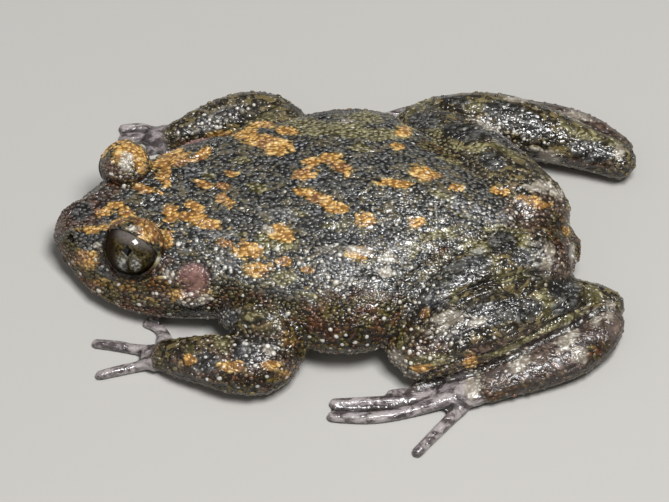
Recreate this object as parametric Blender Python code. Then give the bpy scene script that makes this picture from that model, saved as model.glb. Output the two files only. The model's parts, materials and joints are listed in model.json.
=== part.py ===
"""A life-size rock frog, resting flat on the ground, as a still museum model.

The frog faces -X, its left side is towards -Y and up is +Z. Sizes below are in millimetres and are
turned into metres by MM where a mesh is made. Every part is one closed body, and parts that touch keep
a narrow seam between them.
"""

import math

import bmesh
import bpy
from mathutils import Vector
from mathutils.bvhtree import BVHTree

MM = 0.001

# Seam between two parts that touch.
SEAM = 0.3

# Distances, in metres, that slivers left by a cut are welded by, tried from the shortest.
WELD_DISTANCES = (2e-6, 4e-6, 8e-6, 1.6e-5, 3e-5)

# Trunk, one loft from the snout to the vent. Each row holds: place along X, middle line in Y,
# half-width, height of the widest line, half-width and height of the upper edge, top and underside.
TRUNK = [
    (-23.15, 0.40, 0.5, 2.90, 0.35, 3.30, 3.50, 2.50),
    (-22.85, 0.42, 1.2, 2.60, 0.9, 3.90, 4.15, 1.70),
    (-22.30, 0.48, 2.2, 2.30, 1.4, 4.45, 4.75, 1.05),
    (-21.20, 0.50, 3.5, 2.00, 2.0, 4.90, 5.25, 0.65),
    (-19.90, 0.54, 5.1, 1.90, 2.9, 5.30, 5.75, 0.40),
    (-18.20, 0.55, 6.4, 1.85, 3.8, 5.70, 6.20, 0.25),
    (-16.20, 0.55, 7.3, 1.85, 4.8, 5.90, 6.60, 0.15),
    (-13.50, 0.55, 8.0, 2.00, 6.1, 6.10, 7.00, 0.10),
    (-11.00, 0.55, 8.3, 2.20, 7.1, 6.30, 7.40, 0.10),
    (-9.00, 0.55, 8.6, 2.50, 7.5, 6.60, 7.80, 0.00),
    (-6.00, 0.45, 9.5, 2.80, 8.2, 6.90, 8.40, -0.20),
    (-2.00, 0.20, 11.4, 2.80, 9.6, 6.90, 9.10, -0.30),
    (1.60, 0.10, 12.1, 2.80, 10.3, 6.90, 9.50, -0.30),
    (4.60, 0.20, 11.3, 3.00, 10.0, 6.90, 9.60, -0.30),
    (7.40, 0.00, 9.4, 3.20, 8.5, 6.80, 9.40, -0.20),
    (11.00, -0.50, 7.5, 3.30, 6.9, 6.50, 8.90, -0.05),
    (14.50, -0.90, 5.9, 3.20, 5.2, 5.90, 7.90, 0.25),
    (17.80, -1.10, 4.3, 3.10, 3.4, 5.00, 6.30, 0.85),
    (20.20, -1.20, 2.6, 3.00, 1.9, 4.10, 4.80, 1.50),
    (21.00, -1.20, 0.9, 3.00, 0.55, 3.50, 3.80, 2.30),
]
HEAD_STATIONS = 18
TORSO_STATIONS = 20
WHOLE_TRUNK_STATIONS = 34
TRUNK_SAMPLES = 400
SECTION_POINTS = 4
NECK = -9.3

# Each cross-section has one more point low on the flank, at these shares of the half-width and of the
# height of the widest line. A section that is made larger grows less at its upper edge.
FLANK_OUT = 0.62
FLANK_UP = 0.10
UPPER_EDGE_GROWTH = 0.8
UPPER_EDGE_RISE = 0.5

# Eyes. The upper lid covers each ball up to a plane that faces outwards from the head.
EYE_RADIUS = 2.3
EYE_SPREAD = 4.35
EYE_MIDDLE = Vector((-16.75, 0.55, 6.6))
EYE_LEAD = 0.45
EYE_FACETS = (22, 14)
LID_THICKNESS = 0.22
LID_FACING = Vector((-0.48, -0.83, -0.28)).normalized()
LID_PLANES = {-1: -0.42, 1: 0.9}

# The lower lid is an arc round the ball, from near the front corner of the eye to its rear corner.
LOWER_LID_RADIUS = 0.42
LOWER_LID_CLEARANCE = 0.2
LOWER_LID_ARCS = {-1: (-12.0, -168.0), 1: (-42.0, -168.0)}
LOWER_LID_POINTS = 12
LOWER_LID_THINNEST = 0.5
LOWER_LID_TILTS = range(20, 120, 2)

# Face.
MOUTH_CENTRE = (-13.5, 0.55)
MOUTH_STEPS = 36
MOUTH_RAY = 30.0
MOUTH_HEIGHTS = (1.45, 1.75)
MOUTH_SWEEP = 118.0
MOUTH_GROOVE = 0.24
NOSTRIL = Vector((-22.0, 1.6, 5.0))
NOSTRIL_MIDDLE_Y = 0.48
NOSTRIL_RADII = (0.39, 0.30, 0.30)
NOSTRIL_FACETS = (10, 8)
EARDRUMS = {-1: Vector((-11.4, -7.2, 5.6)), 1: Vector((-11.3, 8.7, 4.2))}
EARDRUM_RADIUS = 1.5
EARDRUM_RIM = 0.26
EARDRUM_TURNS = 20
EARDRUM_SIDES = 6

# How finely limbs, thighs, thin rods and digits are divided: stations along them, sides round them,
# rings in each round end. An end is closed by a flat this small a step beyond its last ring.
LIMB_STATIONS = 11
LIMB_SIDES = 14
LIMB_CAPS = 3
THIGH_SIDES = 18
PALM_STATIONS = 7
THIN_SIDES = 8
THIN_CAPS = 2
DIGIT_LOFT_STATIONS = 9
CAP_STEP = 0.35

# Edges sharper than this, in degrees, stay sharp.
SHARP_ANGLE = 50.0

# Limbs. Each row holds: X, Y, Z, half-width sideways, half-height.
UPPER_ARM_LEFT = [
    (-7.9, -6.7, 2.9, 2.2, 2.2),
    (-6.0, -8.4, 3.5, 2.6, 2.6),
    (-4.5, -9.9, 3.4, 2.55, 2.6),
    (-4.1, -11.4, 2.6, 2.15, 2.25),
]
FOREARM_LEFT = [
    (-4.2, -11.9, 2.3, 2.1, 2.20),
    (-5.6, -12.8, 2.4, 2.5, 2.35),
    (-7.8, -12.7, 2.25, 2.5, 2.25),
    (-10.2, -12.0, 2.0, 2.2, 2.00),
    (-12.0, -11.6, 1.7, 1.85, 1.70),
    (-13.3, -11.1, 1.35, 1.5, 1.40),
]
UPPER_ARM_RIGHT = [
    (-8.8, 6.3, 3.7, 2.4, 2.3),
    (-6.6, 9.1, 3.4, 2.3, 2.3),
    (-4.7, 11.2, 2.9, 2.2, 2.2),
    (-3.9, 12.6, 2.4, 2.1, 2.1),
]
FOREARM_RIGHT = [
    (-4.0, 12.9, 2.3, 2.0, 2.05),
    (-5.6, 13.8, 2.2, 2.3, 2.15),
    (-8.2, 14.0, 2.0, 2.2, 2.00),
    (-11.0, 13.4, 1.6, 1.65, 1.60),
    (-13.2, 12.6, 1.15, 1.25, 1.20),
]
THIGH_LEFT = [
    (16.6, -3.4, 4.3, 4.0, 3.7),
    (13.4, -5.6, 4.5, 3.9, 3.8),
    (10.2, -7.9, 4.3, 3.5, 3.6),
    (7.8, -10.2, 3.4, 2.7, 2.9),
    (6.9, -11.0, 2.9, 2.4, 2.5),
]
SHANK_LEFT = [
    (7.3, -11.8, 2.6, 2.2, 2.3),
    (9.9, -10.9, 3.0, 2.7, 2.8),
    (12.3, -9.8, 3.3, 3.0, 3.1),
    (14.9, -8.7, 3.3, 3.0, 3.1),
    (18.2, -7.4, 3.0, 2.6, 2.7),
    (21.2, -6.4, 2.4, 1.9, 2.0),
    (22.9, -6.5, 2.0, 1.6, 1.7),
]
TARSUS_LEFT = [
    (23.0, -8.0, 1.7, 1.5, 1.60),
    (22.1, -9.5, 1.75, 1.8, 1.75),
    (20.3, -10.9, 1.75, 2.1, 1.75),
    (18.0, -12.1, 1.6, 2.0, 1.60),
    (15.3, -13.2, 1.4, 1.65, 1.40),
    (13.0, -14.1, 1.1, 1.45, 1.15),
]
THIGH_RIGHT = [
    (16.4, 1.1, 4.3, 4.0, 3.7),
    (13.7, 4.6, 4.4, 3.9, 3.8),
    (10.7, 8.4, 3.9, 3.4, 3.5),
    (7.8, 11.6, 2.9, 2.5, 2.6),
]
SHANK_RIGHT = [
    (8.0, 12.3, 2.7, 2.3, 2.4),
    (11.4, 12.6, 3.0, 2.6, 2.7),
    (15.3, 12.2, 3.1, 2.6, 2.7),
    (19.0, 11.2, 2.8, 2.3, 2.3),
    (22.4, 10.1, 2.2, 1.8, 1.8),
    (24.6, 9.3, 1.9, 1.6, 1.6),
]
TARSUS_RIGHT = [
    (24.5, 10.6, 1.5, 1.6, 1.50),
    (21.9, 12.6, 1.55, 1.8, 1.55),
    (18.4, 14.1, 1.40, 1.8, 1.45),
    (15.7, 15.1, 1.20, 1.5, 1.20),
    (14.1, 15.6, 1.00, 1.35, 1.00),
]

# Hands and feet: the palm or sole as a limb, then each digit from its root to its tip.
PALM_LEFT = [
    (-13.2, -11.1, 1.20, 1.4, 1.20),
    (-14.2, -10.9, 0.90, 1.4, 0.95),
    (-15.0, -10.6, 0.65, 1.2, 0.70),
]
FINGERS_LEFT = [
    [(-13.7, -10.3), (-14.0, -9.3), (-14.1, -8.5)],
    [(-13.3, -10.1), (-13.6, -8.5), (-14.4, -7.4), (-15.3, -6.9)],
    [(-14.5, -10.1), (-17.2, -9.4), (-19.5, -9.0)],
    [(-14.8, -11.2), (-17.0, -11.7), (-19.1, -12.3)],
]
PALM_RIGHT = [
    (-13.0, 12.7, 1.05, 1.2, 1.05),
    (-14.3, 12.7, 0.85, 1.4, 0.90),
    (-15.3, 12.8, 0.60, 1.2, 0.65),
]
FINGERS_RIGHT = [
    [(-13.8, 12.1), (-14.0, 10.9), (-14.3, 9.9)],
    [(-13.6, 12.4), (-14.6, 12.1), (-15.6, 11.7)],
    [(-14.6, 12.8), (-16.4, 13.1), (-18.0, 13.1)],
    [(-14.6, 13.4), (-16.2, 14.2), (-18.0, 14.2)],
]
FINGER_RADII = (0.62, 0.48, 0.50, 0.42)
SOLE_LEFT = [
    (13.1, -14.0, 1.10, 1.4, 1.10),
    (11.4, -14.3, 0.85, 1.6, 0.90),
    (9.8, -14.4, 0.65, 1.4, 0.70),
]
TOES_LEFT = [
    [(11.4, -13.5), (9.6, -13.3), (7.8, -13.4)],
    [(11.0, -13.9), (8.0, -14.0), (5.0, -14.3)],
    [(10.6, -14.3), (6.2, -14.9), (0.3, -15.2)],
    [(10.6, -14.8), (5.7, -16.3), (2.6, -16.7), (0.1, -16.5)],
    [(11.8, -14.8), (9.7, -17.0), (7.1, -20.1)],
]
SOLE_RIGHT = [
    (14.2, 15.5, 1.00, 1.35, 1.00),
    (12.6, 15.8, 0.85, 1.5, 0.90),
    (11.2, 15.9, 0.65, 1.4, 0.70),
]
TOES_RIGHT = [
    [(12.6, 15.1), (10.8, 14.9), (9.2, 14.9)],
    [(12.2, 15.4), (9.6, 15.2), (7.0, 14.8)],
    [(11.8, 15.7), (8.2, 15.6), (4.2, 14.4)],
    [(11.8, 16.1), (7.6, 16.3), (2.9, 14.6)],
    [(12.6, 16.4), (10.9, 17.2), (9.0, 17.3)],
]
TOE_RADII = (0.68, 0.52, 0.54, 0.46)

# How a digit's thickness runs along it: it thins from its root, swells at its joint and again at its
# tip, and its root stands a little higher than the rest.
DIGIT_THINNING = 3.0
DIGIT_JOINT_START = 0.27
DIGIT_JOINT_END = 0.73
DIGIT_TIP_START = 0.7
DIGIT_TIP_WIDENING = 1.12
DIGIT_FLATTENING = 0.92
DIGIT_ROOT_LIFT = 0.35
DIGIT_ROOT_FADING = 4.0
DIGIT_STATIONS = 7
DIGIT_SINK = 0.1
DIGIT_VOXEL = 0.11
DIGIT_TRIANGLES = 850
DIGIT_SOFTENING = (0.5, 3)
WEB_THICKNESS = 0.5
WEB_REACH = 0.42
WEB_INSET = 0.04
WEB_HOLLOW = 0.45
WEB_STEPS = 5
WEB_ACROSS = 4

# Colour and roughness of each kind of part.
LOOKS = {
    "head": ((0.115, 0.100, 0.072), 0.34),
    "torso": ((0.085, 0.088, 0.080), 0.34),
    "eye": ((0.050, 0.042, 0.026), 0.06),
    "upper_arm": ((0.105, 0.100, 0.070), 0.34),
    "forearm": ((0.080, 0.080, 0.068), 0.30),
    "hand": ((0.210, 0.180, 0.170), 0.28),
    "thigh": ((0.095, 0.092, 0.062), 0.36),
    "shank": ((0.098, 0.098, 0.066), 0.36),
    "tarsus": ((0.105, 0.078, 0.075), 0.34),
    "foot": ((0.200, 0.165, 0.158), 0.28),
    "outer_toe": ((0.200, 0.165, 0.158), 0.28),
}


def clear_scene():
    """Removes every object that the startup file holds."""
    for found in list(bpy.data.objects):
        bpy.data.objects.remove(found, do_unlink=True)


def material(name):
    """The Principled material of a part, after its name without its side."""
    colour, roughness = LOOKS[name.removesuffix("_left").removesuffix("_right")]
    made = bpy.data.materials.new(name)
    made.use_nodes = True
    shader = made.node_tree.nodes["Principled BSDF"]
    shader.inputs["Base Color"].default_value = (*colour, 1.0)
    shader.inputs["Roughness"].default_value = roughness
    return made


def through(rows, t):
    """The point at t, from 0 to 1, of a smooth curve through all the rows."""
    last = len(rows) - 1
    place = min(max(t, 0.0), 1.0) * last
    index = min(int(place), last - 1)
    f = place - index
    before, a, b, after = (rows[min(max(index + k, 0), last)] for k in (-1, 0, 1, 2))
    values = []
    for p, q, r, s in zip(before, a, b, after):
        bend = (2 * p - 5 * q + 4 * r - s) * f + (3 * q - p - 3 * r + s) * f * f
        values.append(q + 0.5 * f * (r - p + bend))
    return values


def new_object(name, mesh):
    """Links a mesh to the scene as an object."""
    made = bpy.data.objects.new(name, mesh)
    bpy.context.scene.collection.objects.link(made)
    return made


def loft(name, rings):
    """A closed body through rings of equally many points, in millimetres, with flat ends."""
    shape = bmesh.new()
    loops = []
    for ring in rings:
        loops.append([shape.verts.new(Vector(point) * MM) for point in ring])
    count = len(loops[0])
    for one, other in zip(loops, loops[1:]):
        for i in range(count):
            j = (i + 1) % count
            shape.faces.new((one[i], one[j], other[j], other[i]))
    shape.faces.new(reversed(loops[0]))
    shape.faces.new(loops[-1])
    bmesh.ops.recalc_face_normals(shape, faces=shape.faces)
    mesh = bpy.data.meshes.new(name)
    shape.to_mesh(mesh)
    shape.free()
    return new_object(name, mesh)


def trunk_ring(row, grow=0.0):
    """One cross-section of the trunk, as a closed smooth curve."""
    x, middle, wide, wide_z, upper, upper_z, top, low = row
    wide, upper = wide + grow, upper + UPPER_EDGE_GROWTH * grow
    top, low = top + grow, low - grow
    flank = (FLANK_OUT * wide, low + FLANK_UP * (wide_z - low))
    edge = (upper, upper_z + UPPER_EDGE_RISE * grow)
    half = [(0.0, low), flank, (wide, wide_z), edge, (0.0, top)]
    whole = half + [(-y, z) for y, z in reversed(half[1:-1])]
    ring = []
    count = len(whole)
    for i in range(count):
        four = [whole[(i + k) % count] for k in (-1, 0, 1, 2)]
        for step in range(SECTION_POINTS):
            y, z = through(four, (1 + step / SECTION_POINTS) / 3)
            ring.append((x, middle + y, z))
    return ring


def trunk_rows(start, end, stations):
    """Rows of the trunk at even steps from start to end along X."""
    dense = [through(TRUNK, i / TRUNK_SAMPLES) for i in range(TRUNK_SAMPLES + 1)]
    rows = []
    for i in range(stations):
        x = start + (end - start) * i / (stations - 1)
        rows.append(min(dense, key=lambda row: abs(row[0] - x)))
    return rows


def trunk_part(name, start, end, stations, grow=0.0):
    """The stretch of the trunk from start to end."""
    return loft(name, [trunk_ring(row, grow) for row in trunk_rows(start, end, stations)])


def limb_rings(
    rows,
    grow=0.0,
    stations=LIMB_STATIONS,
    sides=LIMB_SIDES,
    caps=LIMB_CAPS,
    upright=Vector((0, 0, 1)),
):
    """Elliptical rings along a limb, with round ends. Their heights are along upright."""
    path = [through(rows, i / (stations - 1)) for i in range(stations)]
    rings = []

    def ring(centre, along, half_width, half_height):
        side = along.cross(upright).normalized()
        up = side.cross(along).normalized()
        points = []
        for k in range(sides):
            angle = 2 * math.pi * (k + 0.5) / sides
            offset = side * math.cos(angle) * half_width + up * math.sin(angle) * half_height
            points.append(centre + offset)
        rings.append(points)

    def tangent(i):
        a, b = path[max(i - 1, 0)], path[min(i + 1, stations - 1)]
        return (Vector(b[:3]) - Vector(a[:3])).normalized()

    def cap(i, sign):
        row, along = path[i], tangent(i)
        a, b = row[3] + grow, row[4] + grow
        steps = range(caps, 0, -1) if sign < 0 else range(1, caps + 1)
        for k in steps:
            angle = 0.5 * math.pi * k / (caps + CAP_STEP)
            shift = along * sign * min(a, b) * math.sin(angle)
            ring(Vector(row[:3]) + shift, along, a * math.cos(angle), b * math.cos(angle))

    cap(0, -1)
    for i, row in enumerate(path):
        ring(Vector(row[:3]), tangent(i), row[3] + grow, row[4] + grow)
    cap(stations - 1, 1)
    return rings


def limb(name, rows, grow=0.0, **sizes):
    """A limb segment as one closed body."""
    return loft(name, limb_rings(rows, grow, **sizes))


def digit_rows(points, radii):
    """Rows of a finger or toe that lies on the ground, thicker at its root, joints and tip."""
    rows = []
    base, waist, knuckle, end = radii
    for i in range(DIGIT_STATIONS):
        t = i / (DIGIT_STATIONS - 1)
        x, y = through(points, t)
        size = base + (waist - base) * min(1.0, t * DIGIT_THINNING)
        joint = (t - DIGIT_JOINT_START) / (DIGIT_JOINT_END - DIGIT_JOINT_START)
        size += (knuckle - waist) * math.sin(math.pi * min(1.0, max(0.0, joint))) ** 2
        size += (end - waist) * max(0.0, t - DIGIT_TIP_START) / (1 - DIGIT_TIP_START)
        wide = size * (DIGIT_TIP_WIDENING if i == DIGIT_STATIONS - 1 else 1.0)
        height = size * DIGIT_FLATTENING
        lift = DIGIT_ROOT_LIFT * max(0.0, 1 - DIGIT_ROOT_FADING * t)
        rows.append((x, y, height - DIGIT_SINK + lift, wide, height))
    return rows


def ellipsoid(name, centre, radii, segments, rings):
    """A round solid with three radii, in millimetres."""
    mesh = bpy.data.meshes.new(name)
    shape = bmesh.new()
    bmesh.ops.create_uvsphere(shape, u_segments=segments, v_segments=rings, radius=1.0)
    bmesh.ops.scale(shape, vec=Vector(radii) * MM, verts=shape.verts)
    bmesh.ops.translate(shape, vec=Vector(centre) * MM, verts=shape.verts)
    shape.to_mesh(mesh)
    shape.free()
    return new_object(name, mesh)


def trim(obj, point, normal):
    """Cuts off what lies beyond a plane on the side of its normal, and closes the cut."""
    shape = bmesh.new()
    shape.from_mesh(obj.data)
    geometry = shape.verts[:] + shape.edges[:] + shape.faces[:]
    cut = bmesh.ops.bisect_plane(
        shape,
        geom=geometry,
        dist=1e-7,
        plane_co=Vector(point) * MM,
        plane_no=normal,
        clear_outer=True,
    )
    rim = [e for e in cut["geom_cut"] if isinstance(e, bmesh.types.BMEdge)]
    bmesh.ops.holes_fill(shape, edges=rim, sides=0)
    bmesh.ops.recalc_face_normals(shape, faces=shape.faces)
    shape.to_mesh(obj.data)
    shape.free()
    return obj


def apply_modifiers(obj):
    """Replaces the object's mesh by its evaluated one."""
    graph = bpy.context.evaluated_depsgraph_get()
    graph.update()
    mesh = bpy.data.meshes.new_from_object(obj.evaluated_get(graph))
    obj.modifiers.clear()
    obj.data = mesh
    return obj


def boolean(obj, others, operation):
    """Joins or cuts obj by the other objects, which are then removed."""
    helpers = bpy.data.collections.new("helpers")
    bpy.context.scene.collection.children.link(helpers)
    for other in others:
        bpy.context.scene.collection.objects.unlink(other)
        helpers.objects.link(other)
    modifier = obj.modifiers.new(operation.lower(), "BOOLEAN")
    modifier.operation = operation
    modifier.operand_type = "COLLECTION"
    modifier.collection = helpers
    modifier.solver = "EXACT"
    modifier.use_self = True
    apply_modifiers(obj)
    for other in others:
        bpy.data.objects.remove(other, do_unlink=True)
    bpy.data.collections.remove(helpers)
    return obj


def fuse(obj, others, voxel, triangles):
    """Melts obj and the other objects into one smooth skin with about so many triangles."""
    shape = bmesh.new()
    for item in (obj, *others):
        shape.from_mesh(item.data)
    shape.to_mesh(obj.data)
    shape.free()
    for other in others:
        bpy.data.objects.remove(other, do_unlink=True)
    remesh = obj.modifiers.new("remesh", "REMESH")
    remesh.mode = "VOXEL"
    remesh.voxel_size = voxel * MM
    soften = obj.modifiers.new("soften", "SMOOTH")
    soften.factor, soften.iterations = DIGIT_SOFTENING
    apply_modifiers(obj)
    decimate = obj.modifiers.new("decimate", "DECIMATE")
    decimate.ratio = triangles / (2 * len(obj.data.polygons))
    return apply_modifiers(obj)


def welded(mesh):
    """The mesh as a bmesh with slivers from cuts welded away, by the shortest distance that closes it."""
    for distance in WELD_DISTANCES:
        shape = bmesh.new()
        shape.from_mesh(mesh)
        bmesh.ops.remove_doubles(shape, verts=shape.verts, dist=distance)
        bmesh.ops.dissolve_degenerate(shape, edges=shape.edges, dist=distance)
        if all(len(edge.link_faces) == 2 for edge in shape.edges):
            break
    return shape


def keep_largest(obj):
    """Keeps only the largest closed surface."""
    shape = welded(obj.data)
    left = set(shape.verts)
    islands = []
    while left:
        seed = left.pop()
        island, stack = {seed}, [seed]
        while stack:
            for edge in stack.pop().link_edges:
                for vertex in edge.verts:
                    if vertex in left:
                        left.discard(vertex)
                        island.add(vertex)
                        stack.append(vertex)
        islands.append(island)
    spans = []
    for island in islands:
        low = Vector(min(v.co[k] for v in island) for k in range(3))
        high = Vector(max(v.co[k] for v in island) for k in range(3))
        spans.append((high - low).length)
    best = islands[spans.index(max(spans))]
    loose = [v for v in shape.verts if v not in best]
    bmesh.ops.delete(shape, geom=loose, context="VERTS")
    shape.to_mesh(obj.data)
    shape.free()
    return obj


def finish_part(obj):
    """Lays the part on the ground, gives it its material and shades it smooth."""
    if min((v.co.z for v in obj.data.vertices), default=0.0) < 0.0:
        trim(obj, (0, 0, 0), Vector((0, 0, -1)))
    keep_largest(obj)
    obj.data.materials.clear()
    obj.data.materials.append(material(obj.name))
    obj.data.shade_smooth()
    obj.data.set_sharp_from_angle(angle=math.radians(SHARP_ANGLE))
    return obj


def side(vector, sign):
    """The vector as given for the left side, or mirrored for the right side."""
    return Vector((vector.x, vector.y if sign < 0 else -vector.y, vector.z))


def eye_centre(sign):
    """Centre of an eyeball; sign is -1 for the left eye and 1 for the right."""
    return EYE_MIDDLE + Vector((-sign * EYE_LEAD, sign * EYE_SPREAD, 0))


def eyeball(name, sign, radius, plane):
    """The part of an eyeball in front of the plane where the upper lid ends."""
    centre = eye_centre(sign)
    facing = side(LID_FACING, sign)
    ball = ellipsoid(name, centre, (radius,) * 3, *EYE_FACETS)
    return trim(ball, centre + facing * plane, -facing)


def surface_of(obj):
    """A search tree over the object's surface."""
    graph = bpy.context.evaluated_depsgraph_get()
    graph.update()
    return BVHTree.FromObject(obj, graph)


def mouth_path(tree):
    """Points along the mouth, from the left corner round the snout to the right corner."""
    points = []
    for i in range(MOUTH_STEPS + 1):
        share = 2 * i / MOUTH_STEPS - 1
        angle = math.radians(share * MOUTH_SWEEP)
        low, high = MOUTH_HEIGHTS
        height = low + (high - low) * share * share
        outward = Vector((-math.cos(angle), math.sin(angle), 0))
        target = Vector((*MOUTH_CENTRE, height)) * MM
        hit = tree.ray_cast(target + outward * MOUTH_RAY * MM, -outward)[0]
        if hit is not None:
            points.append(hit / MM)
    return points


def tube(name, points, radius):
    """A thin round rod through the points, in millimetres."""
    rows = [(*point, radius, radius) for point in points]
    return limb(name, rows, stations=len(rows), sides=THIN_SIDES, caps=THIN_CAPS)


def lower_lid(name, tree, sign):
    """The fold under the eye, where the ball comes out of the head, thin at the corners of the eye."""
    centre, facing = eye_centre(sign), side(LID_FACING, sign)
    forward = Vector((-1, 0, 0))
    forward = (forward - facing * forward.dot(facing)).normalized()
    up = Vector((0, 0, 1))
    up = (up - facing * up.dot(facing)).normalized()
    reach = EYE_RADIUS + SEAM + LOWER_LID_CLEARANCE
    start, end = LOWER_LID_ARCS[sign]
    rows = []
    for i in range(LOWER_LID_POINTS + 1):
        share = i / LOWER_LID_POINTS
        angle = math.radians(start + (end - start) * share)
        outward = forward * math.cos(angle) + up * math.sin(angle)
        for tilt in LOWER_LID_TILTS:
            tilted = math.radians(tilt)
            point = centre + (facing * math.cos(tilted) + outward * math.sin(tilted)) * reach
            surface, normal = tree.find_nearest(point * MM)[:2]
            if (point * MM - surface).dot(normal) < 0:
                break
        thick = LOWER_LID_THINNEST + (1 - LOWER_LID_THINNEST) * math.sin(math.pi * share)
        radius = LOWER_LID_RADIUS * thick
        rows.append((*point, radius, radius))
    sizes = {"stations": len(rows), "sides": THIN_SIDES, "caps": THIN_CAPS}
    return limb(name, rows, upright=facing, **sizes)


def eardrum_rim(name, tree, sign):
    """The raised ring round the eardrum, laid on the side of the head."""
    centre, normal = tree.find_nearest(EARDRUMS[sign] * MM)[:2]
    centre /= MM
    along = Vector((1, 0, 0))
    along = (along - normal * along.dot(normal)).normalized()
    across = normal.cross(along)
    mesh = bpy.data.meshes.new(name)
    shape = bmesh.new()
    loops = []
    for i in range(EARDRUM_TURNS):
        angle = 2 * math.pi * i / EARDRUM_TURNS
        outward = along * math.cos(angle) + across * math.sin(angle)
        loop = []
        for k in range(EARDRUM_SIDES):
            roll = 2 * math.pi * k / EARDRUM_SIDES
            reach = EARDRUM_RADIUS + EARDRUM_RIM * math.cos(roll)
            point = centre + outward * reach + normal * EARDRUM_RIM * math.sin(roll)
            loop.append(shape.verts.new(point * MM))
        loops.append(loop)
    for i in range(EARDRUM_TURNS):
        one, other = loops[i], loops[(i + 1) % EARDRUM_TURNS]
        for k in range(EARDRUM_SIDES):
            j = (k + 1) % EARDRUM_SIDES
            shape.faces.new((one[k], one[j], other[j], other[k]))
    bmesh.ops.recalc_face_normals(shape, faces=shape.faces)
    shape.to_mesh(mesh)
    shape.free()
    return new_object(name, mesh)


def make_head():
    """Head with eyelids, eye sockets, mouth line, nostrils and the rims of the eardrums."""
    head = trunk_part("head", TRUNK[0][0], NECK - SEAM / 2, HEAD_STATIONS)
    tree = surface_of(head)
    added, cut = [], []
    mouth = mouth_path(tree)
    cut.append(tube("mouth", mouth, MOUTH_GROOVE))
    for sign in (-1, 1):
        centre, facing = eye_centre(sign), side(LID_FACING, sign)
        lid = ellipsoid("lid", centre, (EYE_RADIUS + LID_THICKNESS,) * 3, *EYE_FACETS)
        added.append(trim(lid, centre + facing * LID_PLANES[sign], facing))
        added.append(lower_lid("lower_lid", tree, sign))
        added.append(eardrum_rim("eardrum", tree, sign))
        cut.append(eyeball("socket", sign, EYE_RADIUS + SEAM, LID_PLANES[sign] - SEAM))
        guess = Vector((NOSTRIL.x, NOSTRIL_MIDDLE_Y + sign * NOSTRIL.y, NOSTRIL.z)) * MM
        at = tree.find_nearest(guess)[0] / MM
        cut.append(ellipsoid("nostril", at, NOSTRIL_RADII, *NOSTRIL_FACETS))
    boolean(head, added, "UNION")
    boolean(head, cut, "DIFFERENCE")
    return finish_part(head)


def digit(name, points, radii, grow=0.0):
    """A finger or a toe as one closed body."""
    sizes = {"stations": DIGIT_LOFT_STATIONS, "sides": THIN_SIDES, "caps": THIN_CAPS}
    return limb(name, digit_rows(points, radii), grow, **sizes)


def make_digits(name, palm, digits, radii, webbed, neighbours):
    """A hand or a foot: its palm, its digits and any web between them, joined into one body."""
    base = limb(name, palm, stations=PALM_STATIONS)
    added = [digit(f"digit{k}", points, radii) for k, points in enumerate(digits)]
    if webbed:
        for k, (one, other) in enumerate(zip(digits, digits[1:])):
            added.append(web(f"web{k}", one, other))
    fuse(base, added, DIGIT_VOXEL, DIGIT_TRIANGLES)
    for near in neighbours:
        boolean(base, [limb("cutter", near, SEAM)], "DIFFERENCE")
    return finish_part(base)


def make_outer_toe(name, points, neighbours, next_toe):
    """The fifth toe, a part of its own, cut clear of the sole and of the leg."""
    toe = digit(name, points, TOE_RADII)
    cutters = [limb("cutter", rows, SEAM) for rows in neighbours]
    cutters.append(digit("cutter", next_toe, TOE_RADII, SEAM))
    for cutter in cutters:
        boolean(toe, [cutter], "DIFFERENCE")
    return finish_part(toe)


def web(name, one, other):
    """A thin skin between two toes, with a hollow free edge."""
    top, bottom = [], []
    for i in range(WEB_STEPS + 1):
        share = WEB_REACH * i / WEB_STEPS
        a, b = Vector(through(one, share)), Vector(through(other, share))
        a0, b0 = Vector(one[0]), Vector(other[0])
        row_top, row_bottom = [], []
        for k in range(WEB_ACROSS + 1):
            f = WEB_INSET + (1 - 2 * WEB_INSET) * k / WEB_ACROSS
            slack = 1 - WEB_HOLLOW * math.sin(math.pi * f) * share / WEB_REACH
            start = a0.lerp(b0, f)
            point = start.lerp(a.lerp(b, f), slack)
            row_top.append(Vector((point.x, point.y, WEB_THICKNESS)))
            row_bottom.append(Vector((point.x, point.y, -DIGIT_SINK)))
        top.append(row_top)
        bottom.append(row_bottom)
    rings = [upper + list(reversed(lower)) for upper, lower in zip(top, bottom)]
    return loft(name, rings)


def grown_trunk(name):
    """The whole trunk made larger by the seam, for cutting what touches it."""
    start, end = TRUNK[0][0] - SEAM, TRUNK[-1][0] + SEAM
    return trunk_part(name, start, end, WHOLE_TRUNK_STATIONS, grow=SEAM)


def make_limb(name, rows, neighbours, **sizes):
    """A limb segment, cut clear of the trunk and of the segments that it touches."""
    part = limb(name, rows, **sizes)
    boolean(part, [grown_trunk("trunk_cutter")], "DIFFERENCE")
    for near in neighbours:
        boolean(part, [limb("cutter", near, SEAM)], "DIFFERENCE")
    return finish_part(part)


def centre_on_ground(parts):
    """Puts the origin on the ground under the middle of the frog, and each part's own at its centre."""
    boxes = []
    for part in parts:
        points = [v.co for v in part.data.vertices]
        low = Vector(min(p[k] for p in points) for k in range(3))
        high = Vector(max(p[k] for p in points) for k in range(3))
        boxes.append((low, high))
    middle = Vector((0, 0, 0))
    for k in range(2):
        middle[k] = (min(low[k] for low, _ in boxes) + max(high[k] for _, high in boxes)) / 2
    whole = bpy.data.objects.new("frog", None)
    bpy.context.scene.collection.objects.link(whole)
    for part, (low, high) in zip(parts, boxes):
        centre = (low + high) / 2
        for vertex in part.data.vertices:
            vertex.co -= centre
        part.location = centre - middle
        part.parent = whole


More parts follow.
